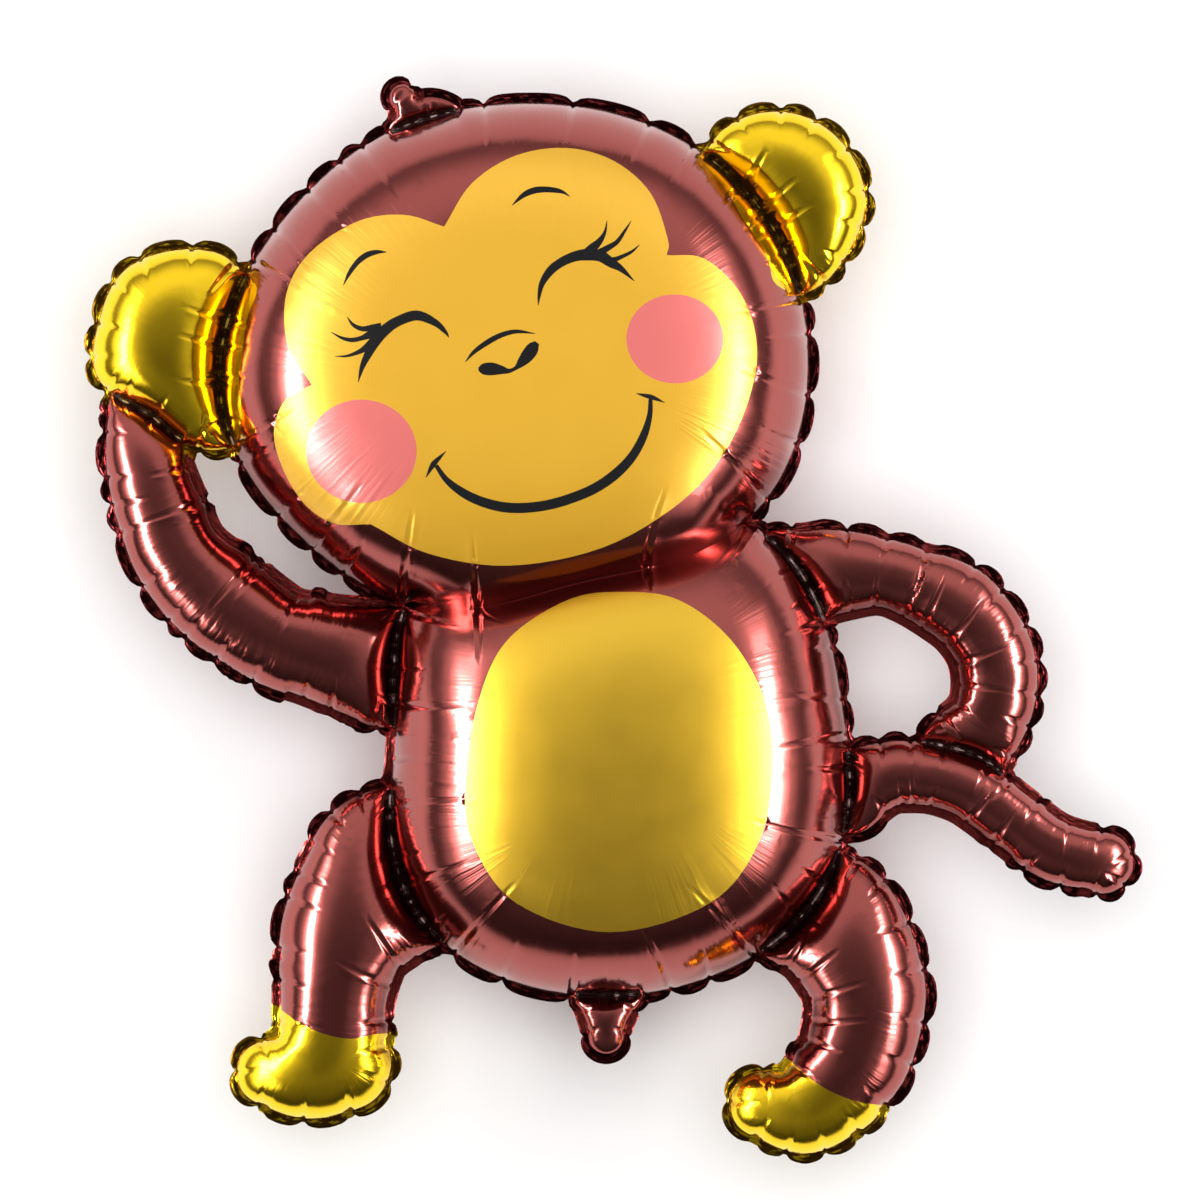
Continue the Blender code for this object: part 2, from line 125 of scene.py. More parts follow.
# The membrane: rounds of its solution at most, what is left over then, how flat it gets on top
SOLVE_ROUNDS = 1500
SOLVED = 1e-7
FLATTENING = 4
NECK_ARCH = 2.4
TINY = 1e-9

# Round chambers: places on the seam, read off the picture. Those inside a neighbour are judged.
ROUND_SEAMS = {
    "head": [(254, 261), (309, 191), (360, 148), (484, 108), (574, 104), (648, 126), (691, 148),
        (745, 187), (779, 237), (798, 296), (809, 353), (796, 444), (765, 503), (737, 528), (700, 551),
        (640, 570), (560, 590), (476, 605), (405, 605), (313, 547), (242, 462), (221, 400), (220, 360),
        (226, 322), (244, 286)],
    "body": [(403, 615), (394, 680), (391, 759), (391, 842), (410, 892), (443, 948), (505, 976),
        (565, 993), (652, 993), (700, 980), (760, 950), (791, 928), (824, 888), (845, 821), (851, 770),
        (845, 725), (836, 664), (815, 600), (786, 553), (700, 505), (600, 500), (500, 520), (430, 560)],
    "ear_l": [(237, 268), (192, 248), (141, 261), (114, 283), (98, 324), (94, 357), (105, 388),
        (153, 417), (181, 440), (234, 443), (255, 420), (245, 366), (252, 310)],
    "ear_r": [(711, 142), (737, 121), (780, 112), (815, 121), (848, 150), (864, 190), (861, 227),
        (844, 261), (818, 283), (798, 297), (771, 281), (741, 218), (705, 165)],
}
WAVE_COUNTS = {"head": 6, "body": 6, "ear_l": 4, "ear_r": 4}
STIFFNESS = 1e-4

# Tracing a chamber: where the walk starts from, its stride, and how near two cuts or a cut and
# a point can be before they count as one
WALK_START = (900.0, -40.0)
WALK_STRIDE = 1.5
CORNER_GAP = 4.0
END_GAP = 2.0
SETTLE_ROUNDS = 4
NUDGE = 0.01
LEAST_SLOPE = 0.2
FAR = 1e9

# Long chambers: opposite places on the seams across each, x, y and x, y
LIMBS = {
    "tail": [[(850, 752, 846, 833), (880, 743, 885, 810), (909, 741, 912, 806), (945, 746, 932, 808),
        (980, 757, 952, 815), (1002, 773, 966, 824), (1038, 801, 1000, 849), (1070, 823, 1038, 876),
        (1105, 833, 1100, 893)]],
    "arm_l": [[(381, 727, 389, 607), (304, 699, 330, 600), (254, 681, 300, 595), (186, 636, 253, 559),
        (143, 585, 221, 536), (121, 533, 204, 502), (108, 478, 189, 470), (107, 433, 181, 446),
        (110, 405, 176, 415)]],
    "arm_r": [[(785, 530, 795, 628), (846, 531, 836, 614), (888, 539, 874, 608), (927, 550, 901, 617),
        (975, 568, 931, 636), (1002, 592, 944, 647), (1025, 626, 955, 664), (1036, 661, 958, 680),
        (1036, 694, 957, 696), (1027, 725, 951, 714), (1008, 762, 924, 738)]],
    "leg_l": [[(312, 842, 470, 905), (284, 912, 415, 938), (280, 950, 398, 970), (279, 995, 388, 1005),
        (278, 1028, 388, 1032)], [(268, 1040, 272, 1105), (312, 1028, 304, 1118),
        (335, 1015, 351, 1110)]],
    "leg_r": [[(854, 862, 760, 950), (884, 881, 790, 972), (919, 955, 805, 990), (925, 1000, 810, 1010),
        (909, 1065, 803, 1046), (882, 1101, 790, 1062)], [(859, 1131, 812, 1040), (806, 1153, 803, 1068),
        (762, 1137, 764, 1072)]],
    "filling_neck": [[(575, 990, 641, 990), (583, 1013, 630, 1013), (589, 1036, 623, 1036)]],
    "hanging_tab": [[(391, 128, 469, 150), (396, 118, 426, 112), (391, 98, 415, 96)]],
}

# Printed areas: curves through these places, with a corner between one curve and the next, each
# divided into so many parts from place to place, or as far apart as this on ears and feet
CURVE_PARTS = 6
BAND_STEP = 4.0
FACE_PRINT = [
    [(446, 231), (473, 188), (516, 160), (567, 152), (614, 165), (650, 197), (667, 243), (666, 259)],
    [(666, 259), (703, 262), (737, 293), (754, 336), (752, 385), (726, 449), (680, 503), (603, 548),
        (510, 566), (430, 554), (373, 525)],
    [(373, 525), (333, 523), (299, 495), (277, 443), (286, 405), (315, 387)],
    [(315, 387), (291, 348), (289, 297), (312, 256), (360, 225), (406, 219), (446, 231)],
]
BELLY_PRINT = [(622, 592), (678, 600), (730, 640), (763, 700), (771, 765), (757, 840), (709, 900),
    (610, 929), (517, 900), (474, 840), (467, 780), (480, 700), (508, 640), (568, 600), (622, 592)]
EAR_BANDS = {
    "ear_l": [(244, 276), (259, 290), (249, 320), (245, 350), (241, 385), (245, 410), (258, 432),
        (236, 442)],
    "ear_r": [(697, 156), (719, 183), (730, 199), (741, 219), (757, 243), (768, 262), (773, 284),
        (795, 297)],
}
FOOT_LINES = {
    "leg_l": [(254, 1002), (276, 1006), (300, 1021), (325, 1032), (352, 1037), (375, 1033), (394, 1031),
        (408, 1022)],
    "leg_r": [(772, 1049), (785, 1057), (817, 1082), (840, 1094), (862, 1101), (903, 1108)],
}

# Creases that show plainly in the picture, by chamber: where each leaves the seam and its reach
CREASES = {
    "head": [(254, 261, 52), (275, 230, 60), (309, 191, 62), (362, 147, 68), (484, 107, 45),
        (573, 104, 52), (648, 127, 46), (691, 148, 36), (801, 300, 62), (808, 395, 78), (795, 444, 40),
        (768, 500, 95), (645, 569, 78), (478, 605, 72), (399, 603, 92), (313, 547, 84), (277, 516, 38),
        (242, 462, 40), (236, 445, 74), (221, 378, 30), (221, 345, 26), (224, 318, 24), (745, 187, 30),
        (763, 215, 34), (787, 252, 26)],
    "body": [(645, 569, 26), (478, 607, 52), (405, 612, 60), (393, 705, 78), (390, 803, 84),
        (406, 882, 72), (452, 955, 96), (572, 993, 44), (604, 995, 30), (672, 989, 70), (752, 952, 98),
        (800, 915, 46), (843, 840, 96), (845, 735, 74), (841, 700, 52), (823, 622, 44)],
    "ear_l": [(233, 268, 40), (192, 248, 16), (141, 261, 22), (114, 283, 16), (98, 324, 24),
        (94, 357, 14), (106, 389, 20), (124, 399, 24), (154, 417, 26), (220, 320, 42), (221, 345, 44),
        (221, 385, 44), (226, 420, 30)],
    "ear_r": [(711, 142, 20), (737, 121, 16), (780, 112, 14), (815, 121, 18), (848, 150, 14),
        (864, 191, 20), (861, 227, 24), (843, 261, 24), (747, 184, 42), (762, 208, 46), (775, 228, 46)],
    "arm_l": [(107, 432, 22), (108, 478, 20), (121, 533, 24), (143, 585, 20), (168, 620, 18),
        (186, 636, 26), (215, 660, 22), (253, 681, 22), (304, 699, 26), (204, 502, 64), (253, 559, 66),
        (262, 566, 46), (300, 595, 44), (184, 470, 40)],
    "arm_r": [(846, 531, 22), (888, 539, 24), (927, 550, 60), (975, 568, 20), (1002, 592, 18),
        (1025, 626, 22), (1036, 661, 20), (1036, 694, 22), (1027, 725, 28), (851, 608, 36),
        (873, 607, 34), (901, 617, 72), (922, 629, 62), (942, 645, 62), (955, 665, 54), (958, 684, 46),
        (956, 703, 44), (946, 722, 38)],
    "tail": [(880, 743, 18), (909, 741, 22), (945, 747, 22), (1038, 801, 28), (1070, 823, 36),
        (1100, 835, 24), (1134, 853, 22), (1123, 882, 26), (1096, 895, 22), (1059, 890, 20),
        (1024, 866, 22), (885, 810, 26), (903, 806, 28), (914, 806, 32), (930, 807, 24), (966, 823, 44)],
    "leg_l": [(361, 796, 22), (335, 815, 20), (312, 842, 26), (296, 871, 34), (287, 897, 32),
        (401, 966, 62), (390, 985, 62), (416, 957, 30), (388, 1020, 26), (262, 1041, 20), (237, 1071, 22),
        (260, 1101, 18), (303, 1118, 22), (351, 1110, 26), (388, 1081, 28), (391, 1046, 34),
        (279, 1020, 46)],
    "leg_r": [(854, 865, 24), (884, 881, 26), (910, 922, 36), (924, 970, 34), (924, 1022, 22),
        (909, 1065, 28), (882, 1101, 30), (859, 1131, 26), (826, 1152, 22), (786, 1151, 22),
        (756, 1134, 24), (733, 1101, 30), (764, 1076, 26), (785, 966, 40), (800, 979, 52), (808, 999, 60),
        (810, 1021, 56), (806, 1040, 40), (788, 1064, 36)],
    "filling_neck": [(582, 1010, 14), (588, 1032, 12), (632, 1010, 14), (624, 1032, 12)],
    "hanging_tab": [(378, 134, 16), (391, 116, 12), (424, 112, 14), (436, 122, 14)],
}
# Between those the seam is pinched about this often, with creases of this reach
PINCH_GAP = 31.0
PINCH_REACH = 25.0
PINCH_CROWDING = 0.62
# How uneven the creases are: gap, place, reach, lean in radians, depth, and sway for its length
GAP_SPREAD = (0.8, 1.2)
PLACE_SPREAD = 3
REACH_SPREAD = (0.7, 1.3)
LEAN_SPREAD = 0.09
DEPTH_SPREAD = (0.75, 1.25)
SWAY = 0.06
# A crease's groove and the ridges beside it: half-width at each end, heights, where a ridge is
# and its width in groove widths, and the share of the film's height that it keeps to
GROOVE_WIDTH = (2.4, 1.5)
GROOVE_DEPTH = 2.3
HIGH_RIDGE = 1.3
LOW_RIDGE = 0.35
RIDGE_PLACE = 1.3
RIDGE_WIDTH = 0.8
DEEPEST = 0.3
# Long creases are deeper, up to a limit, and each runs out at its end by this power
DEPTH_BASE = 0.55
DEPTH_GAIN = 60
DEPTH_LIMIT = 1.3
RUN_OUT = 2.6
CREASE_MESH_STEP = 2.4
CREASE_MESH_ROWS = (0, -1, 1, -2.1, 2.1)

# The film's materials, in the order of their slots; the rim and weld ones carry painted shade
SLOTS = ["brown_film", "gold_film", "face_print", "belly_print", "cheek_print", "black_print",
         "brown_rim", "gold_rim", "brown_weld", "gold_weld"]

# Black printed strokes: places along the middle of each, with the stroke's width there
STROKES = [
    [(451, 341, 0.6), (447, 335, 4), (437, 326, 7), (419, 319, 10), (400, 325, 10), (387, 334, 11),
        (378, 345, 10), (371, 357, 8), (365, 370, 5), (361, 385, 0.6)],
    [(350, 320, 0.6), (356, 328, 3.5), (365, 332, 5), (375, 331, 6.5), (384, 330, 8)],
    [(334, 335, 0.6), (345, 341, 3), (355, 343, 4.5), (365, 341, 5), (375, 337, 9), (385, 334, 10)],
    [(338, 359, 0.6), (349, 359, 2.5), (359, 356, 4), (367, 352, 6), (376, 344, 8)],
    [(539, 309, 0.6), (540, 299, 3.5), (543, 287, 6), (551, 275, 8.5), (561, 267, 9), (574, 261, 10),
        (586, 259, 11.5), (600, 260, 11.5), (611, 267, 9.5), (621, 273, 6), (634, 285, 0.6)],
    [(607, 225, 0.6), (605, 236, 3), (600, 245, 6), (593, 252, 9), (586, 258, 9)],
    [(631, 225, 0.6), (624, 236, 3), (617, 246, 4.5), (608, 252, 6), (598, 258, 8)],
    [(639, 249, 0.6), (631, 256, 3), (621, 261, 4), (613, 264, 5.5), (604, 264, 7)],
    [(513, 210, 0.6), (524, 200, 5), (535, 195, 6.5), (546, 194, 6), (557, 195, 5), (564, 197, 3),
        (570, 201, 0.6)],
    [(346, 289, 0.6), (352, 277, 4), (360, 266, 5.5), (369, 259, 6), (379, 256, 4.5), (389, 256, 0.6)],
    [(467, 365, 0.6), (476, 355, 4), (490, 345, 5.5), (504, 338, 5), (518, 335, 4), (536, 337, 0.6)],
    [(480, 372, 3), (483, 372, 9), (487, 372, 12), (494, 372, 12.5), (503, 373, 8.5), (510, 374, 4.5),
        (517, 371, 4), (523, 365, 9.5), (529, 358, 13), (534, 351, 12), (538, 346, 5)],
    [(438, 467, 4), (448, 481, 6), (463, 493, 8.5), (481, 502, 9.5), (503, 508, 10), (525, 509, 10),
        (549, 506, 10), (573, 499, 10), (596, 489, 10), (616, 475, 10), (632, 458, 9), (643, 438, 8),
        (649, 418, 5.5), (650, 401, 4)],
    [(428, 479, 0.6), (434, 468, 5), (438, 463, 5), (448, 453, 0.6)],
    [(636, 396, 0.6), (644, 398, 3.5), (652, 400, 4.5), (664, 405, 0.6)],
]
# Cheeks: middle x, y and half-axes across and up
CHEEKS = [(364, 453, 55, 51), (674, 342, 48, 44)]


def drawn(points):
    """Places on the plan, in millimetres, of places in the picture."""
    x, y = np.array(points, float).T
    return np.stack([(x - PICTURE_MIDDLE[0]) * PIXEL, (PICTURE_MIDDLE[1] - y) * PIXEL], axis=1)


def smooth_curve(points, parts):
    """Points on a smooth curve through the given ones, closed if its ends are the same."""
    knots = np.array(points, float)
    if np.allclose(knots[0], knots[-1]):
        knots = np.vstack([knots[-2], knots, knots[1]])
    else:
        knots = np.vstack([2 * knots[0] - knots[1], knots, 2 * knots[-1] - knots[-2]])
    run = []
    for i in range(1, len(knots) - 2):
        a, b, c, d = knots[i - 1:i + 3]
        for t in np.arange(parts) / parts:
            run.append(0.5 * (2 * b + (c - a) * t + (2 * a - 5 * b + 4 * c - d) * t * t
                              + (3 * b - a - 3 * c + d) * t ** 3))
    run.append(knots[-2])
    return np.array(run)


def round_shape(name):
    """A smooth loop close to the places on a seam: its centre, mean radius and waves."""
    points = drawn(ROUND_SEAMS[name])
    centre = (points.max(axis=0) + points.min(axis=0)) / 2
    away = points - centre
    angle = np.arctan2(away[:, 1], away[:, 0])
    parts, hold = [np.ones(len(angle))], [0.0]
    for k in range(1, WAVE_COUNTS[name] + 1):
        parts += [np.cos(k * angle), np.sin(k * angle)]
        hold += [STIFFNESS * k ** 4] * 2
    parts = np.array(parts)
    radius = np.linalg.solve(parts @ parts.T + np.diag(hold), parts @ np.hypot(*away.T))
    return centre[0], centre[1], radius[0], radius[1:].reshape(-1, 2)


def limb_circles(pairs):
    """Circles across a limb, each through two opposite places on its seams."""
    first, second = drawn([p[:2] for p in pairs]), drawn([p[2:] for p in pairs])
    return np.column_stack([(first + second) / 2, np.hypot(*(first - second).T) / 2])


def round_distance(shape, p):
    """About how far each point lies outside a round chamber."""
    x, y, mean, waves = shape
    dx, dy = p[:, 0] - x, p[:, 1] - y
    angle, reach = np.arctan2(dy, dx), np.maximum(np.hypot(dx, dy), 1.0)
    radius, turn = np.full(len(p), mean), np.zeros(len(p))
    for k, (c, s) in enumerate(waves, 1):
        radius += c * np.cos(k * angle) + s * np.sin(k * angle)
        turn += k * (s * np.cos(k * angle) - c * np.sin(k * angle))
    return (reach - radius) / np.hypot(1.0, turn / reach)


def long_distance(circles, p):
    """How far each point lies outside a row of circles that are close together."""
    gaps = np.hypot(p[:, 0, None] - circles[:, 0], p[:, 1, None] - circles[:, 1])
    return (gaps - circles[:, 2]).min(axis=1)


def chambers():
    """Distance functions by name, from the one that keeps its whole outline to the last."""
    def of_round(shape):
        return lambda p: round_distance(shape, p)

    def of_long(rows):
        circles = np.vstack([smooth_curve(limb_circles(row), 10) for row in rows])
        return lambda p: long_distance(circles, p)

    shapes = {name: of_round(round_shape(name)) for name in ROUND_SEAMS}
    shapes.update({name: of_long(rows) for name, rows in LIMBS.items()})
    return shapes


def settle(away, p, level):
    """Move one point onto the line where a distance function has this level."""
    for _ in range(SETTLE_ROUNDS):
        near = away(np.array([p, p + (NUDGE, 0), p + (0, NUDGE)]))
        slope = (near[1:] - near[0]) / NUDGE
        p = p - slope * (near[0] - level) / max(slope @ slope, LEAST_SLOPE)
    return p, slope / np.hypot(*slope)


def trace(away, level):
    """Walk once anticlockwise round a chamber, at one distance from its outline."""
    p, slope = settle(away, np.array(WALK_START), level)
    p, slope = settle(away, p, level)
    run = [p]
    while len(run) < 6 or np.hypot(*(p - run[0])) > WALK_STRIDE * 0.8:
        p, slope = settle(away, p + WALK_STRIDE * np.array([-slope[1], slope[0]]), level)
        run.append(p)
    return np.array(run[:-1])


def cut_into_arcs(shapes, level):
    """Trace every chamber and cut it where others cover it.

    Gives arcs as (kind, name, points). Kind is "edge" where nothing covers the line and
    "weld" where it runs inside chambers that come later. What lies inside earlier
    chambers is left out.
    """
    names = list(shapes)
    arcs = []
    corners = []
    for place, name in enumerate(names):
        run = trace(shapes[name], level)
        far = np.full(len(run), FAR)
        over = np.min([far] + [shapes[n](run) for n in names[:place]], axis=0) - level
        under = np.min([far] + [shapes[n](run) for n in names[place + 1:]], axis=0) - level
        kind = np.where(over < 0, 0, np.where(under < 0, 1, 2))
        changes = np.flatnonzero(kind != np.roll(kind, -1))
        if len(changes) == 0:
            arcs.append(["edge", name, np.vstack([run, run[:1]])])
            continue
        for i, j in zip(changes, np.roll(changes, -1)):
            inside = np.arange(i + 1, j + 1 + (len(run) if j <= i else 0)) % len(run)
            state = kind[inside[0]]
            ends = []
            for a in (i, j):
                b = (a + 1) % len(run)
                lead = over if 0 in (kind[a], kind[b]) else under
                share = lead[a] / (lead[a] - lead[b])
                cut = run[a] + share * (run[b] - run[a])
                near = [c for c in corners if np.hypot(*(c - cut)) < CORNER_GAP]
                if not near:
                    corners.append(cut)
                ends.append(near[0] if near else cut)
            if state == 0 or np.hypot(*(ends[0] - ends[1])) < 1e-6 and len(inside) < 20:
                continue
            middle = run[inside]
            for end in ends:
                middle = middle[np.hypot(*(middle - end).T) > END_GAP]
            points = np.vstack([ends[0], middle, ends[1]])
            arcs.append(["weld" if state == 1 else "edge", name, points])
    return arcs


def measured(points):
    """Length along a line, up to each of its points."""
    return np.concatenate([[0], np.cumsum(np.hypot(*np.diff(points, axis=0).T))])


def respaced(points, step):
    """The same line with points at one even spacing near the step."""
    along = measured(points)
    count = max(1, round(along[-1] / step))
    at = np.linspace(0, along[-1], count + 1)
    return np.stack([np.interp(at, along, points[:, k]) for k in (0, 1)], axis=1)


def evened(values, count):
    """Values along a line, each averaged with its neighbours over a count of them."""
    share = np.exp(-np.linspace(-2, 2, count) ** 2)
    padded = np.pad(values, count // 2, mode="edge")
    return np.convolve(padded, share / share.sum(), "valid")


def scalloped(points):
    """Rim edge drawn in at even spacings, where the line is long and bulges outwards."""
    line = respaced(points, RIM_STEP)
    along = measured(line)
    lobes = max(1, round(along[-1] / SCALLOP_SPACING))
    per_lobe = max(4, round(along[-1] / lobes / RIM_STEP))
    line = respaced(points, along[-1] / (lobes * per_lobe))
    along = measured(line)
    ahead = np.gradient(line, axis=0)
    ahead /= np.hypot(*ahead.T)[:, None]
    outward = np.stack([ahead[:, 1], -ahead[:, 0]], axis=1)
    turn = np.gradient(np.unwrap(np.arctan2(ahead[:, 1], ahead[:, 0]))) / np.gradient(along)
    bulge = np.clip((evened(turn, 9) + INWARD_BEND) / 0.003, 0, 1)
    fade = np.clip(np.minimum(along, along[-1] - along) / SCALLOP_FADE, 0, 1)
    if np.hypot(*(points[0] - points[-1])) < 1e-6:
        fade[:] = 1
    pull = 1 - np.abs(np.sin(np.pi * np.arange(len(line)) / per_lobe))
    inward = SCALLOP_DEPTH * pull * bulge * fade
    return line - outward * inward[:, None]


def face_curve():
    """The face's printed outline, closed."""
    return np.vstack([smooth_curve(drawn(run), CURVE_PARTS) for run in FACE_PRINT])


def belly_curve():
    """The belly's printed outline, closed."""
    return smooth_curve(drawn(BELLY_PRINT), 8)


def is_within(p, lines):
    """Which points are enclosed by lines that together make closed loops."""
    a, b = np.vstack([line[:-1] for line in lines]), np.vstack([line[1:] for line in lines])
    rise = np.where(a[:, 1] == b[:, 1], 1.0, b[:, 1] - a[:, 1])
    lean = (b[:, 0] - a[:, 0]) / rise
    inside = np.zeros(len(p), bool)
    for first in range(0, len(p), 2000):
        x, y = p[first:first + 2000, 0, None], p[first:first + 2000, 1, None]
        spans = (a[:, 1] > y) != (b[:, 1] > y)
        crossing = a[:, 0] + (y - a[:, 1]) * lean
        inside[first:first + 2000] = (spans & (x < crossing)).sum(axis=1) % 2 == 1
    return inside


def normals(line):
    """Unit vectors to the right of a line at each of its points."""
    ahead = np.gradient(line, axis=0)
    ahead /= np.maximum(np.hypot(*ahead.T), TINY)[:, None]
    return np.stack([ahead[:, 1], -ahead[:, 0]], axis=1)


def bending(line):
    """How much a line turns left for each millimetre, smoothed."""
    ahead = np.gradient(line, axis=0)
    turn = np.gradient(np.unwrap(np.arctan2(ahead[:, 1], ahead[:, 0])))
    return evened(turn, 15) / max(np.hypot(*np.diff(line, axis=0).T).mean(), 1e-6)


def stroke_outline(stroke, parts=5):
    """Closed outline of a printed stroke whose width changes along it."""
    places = np.array(stroke, float)
    half = places[:, 2:] / 2 * PIXEL
    fine = smooth_curve(np.hstack([drawn(places[:, :2]), half]), parts)
    side = normals(fine[:, :2]) * np.maximum(fine[:, 2:], 0.2)
    left, right = fine[:, :2] - side, fine[:, :2] + side
    return np.vstack([left, right[::-1], left[:1]])


def cad_middle():
    """Middle of the CAD's outline on the plan, which its frame is centred on."""
    rims = [scalloped(points) for kind, name, points in
            cut_into_arcs(chambers(), RIM_WIDTH) if kind == "edge"]
    every = np.vstack(rims)
    return (every.max(axis=0) + every.min(axis=0)) / 2


def oval(x, y, a, b, count=60):
    """Closed outline of an oval."""
    angle = np.linspace(0, 2 * np.pi, count + 1)
    return np.stack([x + a * np.cos(angle), y + b * np.sin(angle)], axis=1)


def region_of(shapes, p):
    """Name of the chamber that each point lies in, or an empty name."""
    region = np.full(len(p), "", dtype="<U12")
    for name in reversed(list(shapes)):
        region[shapes[name](p) < 0] = name
    return region


class Pinches:
    """Points where the seam is gathered, with the crease that each sends into the film."""

    def __init__(self, shapes, guide, rng):
        rows = [(*drawn([mark[:2]])[0], mark[2] * PIXEL, name)
                for name, marks in CREASES.items() for mark in marks]
        marked = np.array([row[:2] for row in rows])
        for line, name, at_neck in zip(guide.lines, guide.names, guide.at_neck):
            if at_neck:
                continue
            along = measured(line)
            gap = PINCH_GAP * rng.uniform(*GAP_SPREAD)
            even = np.arange(gap / 2, along[-1], gap)
            for at in even + rng.normal(0, PLACE_SPREAD, len(even)):
                p = line[np.searchsorted(along, np.clip(at, 0, along[-1]))]
                if np.hypot(*(marked - p).T).min() > PINCH_CROWDING * PINCH_GAP:
                    rows.append((*p, PINCH_REACH * rng.uniform(*REACH_SPREAD), name))
        self.place, self.inward, self.reach, self.owner = [], [], [], []
        nearest, _ = guide.nearest(np.array([row[:2] for row in rows]))
        for (x, y, reach, name), j in zip(rows, nearest):
            sides = [s for s in (-1, 1) if region_of(
                shapes, (guide.point[j] + s * 6 * guide.normal[j])[None])[0] == name]
            if not sides:
                continue
            angle = rng.normal(0, LEAN_SPREAD)
            nx, ny = guide.normal[j] * sides[0]
            self.place.append(guide.point[j])
            self.inward.append((nx * math.cos(angle) - ny * math.sin(angle),
                                ny * math.cos(angle) + nx * math.sin(angle)))
            self.reach.append(reach)
            self.owner.append(name)
        self.place, self.inward = np.array(self.place), np.array(self.inward)
        self.reach = np.array(self.reach)
        self.depth = rng.uniform(*DEPTH_SPREAD, len(self.reach))
        self.bend = rng.normal(0, 1.0, len(self.reach))
        self.lap = rng.choice((-1, 1), len(self.reach))

    def local(self, i, p):
        """Place of points along and across crease i."""
        offset = p - self.place[i]
        along = offset @ self.inward[i]
        across = offset @ (self.inward[i][::-1] * (-1, 1))
        share = np.clip(along / self.reach[i], 0, 1)
        return along, across - self.bend[i] * share ** 2 * self.reach[i] * SWAY

    def half_width(self, share):
        """Half-width of a crease's groove along its length."""
        return GROOVE_WIDTH[0] + (GROOVE_WIDTH[1] - GROOVE_WIDTH[0]) * share

    def mesh_points(self):
        """Points along the groove and its two sides."""
        rows = []
        for i in range(len(self.place)):
            along = np.arange(CREASE_MESH_STEP / 2, self.reach[i], CREASE_MESH_STEP)
            share = along / self.reach[i]
            centre = self.bend[i] * share ** 2 * self.reach[i] * SWAY
            aside = self.inward[i][::-1] * (-1, 1)
            for k in CREASE_MESH_ROWS:
                across = centre + k * self.half_width(share)
                rows.append(self.place[i] + along[:, None] * self.inward[i]
                            + across[:, None] * aside)
        return np.vstack(rows)


def thinned(kept, candidates):
    """Candidates far enough from what is kept and from one another, in their order."""
    cell = 4.0
    grid = {}

    def put(x, y):
        grid.setdefault((int(x // cell), int(y // cell)), []).append((x, y))

    for x, y in kept:
        put(x, y)
    chosen = []
    for points, gap in candidates:
        limit = gap * gap
        reach = int(math.ceil(gap / cell))
        for x, y in points.tolist():
            i, j = int(x // cell), int(y // cell)
            near = (q for a in range(i - reach, i + reach + 1)
                    for b in range(j - reach, j + reach + 1) for q in grid.get((a, b), ()))
            if all((x - u) ** 2 + (y - v) ** 2 >= limit for u, v in near):
                put(x, y)
                chosen.append((x, y))
    return np.array(chosen)


def search_tree(points):
    """Tree that finds the nearest of some places on the plan."""
    tree = KDTree(len(points))
    for i, (x, y) in enumerate(points.tolist()):
        tree.insert((x, y, 0), i)
    tree.balance()
    return tree


class SeamGuide:
    """Nearest place on the seams for any point of the plan."""

    def __init__(self, seams, necks):
        self.lines = [respaced(points, 1.0) for kind, name, points in seams]
        self.at_neck = [any(points is neck for neck in necks) for kind, name, points in seams]
        self.names = [name for kind, name, points in seams]
        self.point = np.vstack(self.lines)
        self.normal = np.vstack([normals(line) for line in self.lines])
        self.along = np.concatenate([measured(line) + SEAM_APART * k
                                     for k, line in enumerate(self.lines)])
        self.welded = np.concatenate([np.full(len(line), kind == "weld")
                                      for (kind, name, points), line in zip(seams, self.lines)])
        bulge = np.concatenate([bending(line) for line in self.lines])
        self.round = np.clip((bulge + INWARD_BEND) / 0.004, 0, 1)
        self.cusp = np.zeros(len(self.point))
        self.tree = search_tree(self.point)

    def draw_in(self, pinches):
        """Note how close each place on the seams is to a pinch."""
        gaps = np.full(len(self.point), 99.0)
        for p in pinches.place:
            gaps = np.minimum(gaps, np.hypot(*(self.point - p).T))
        self.cusp = np.exp(-gaps / CUSP_WIDTH)

    def nearest(self, p):
        """Index of the nearest sample and the distance to it, for each point."""
        found = [self.tree.find((x, y, 0)) for x, y in p.tolist()]
        return np.array([f[1] for f in found]), np.array([f[2] for f in found])


def neck_lines(shapes, seams):
    """The lines where the head opens into the body."""
    return [points for kind, name, points in seams if kind == "weld" and name == "head"
            and shapes["body"](points[len(points) // 2][None])[0] < -1]


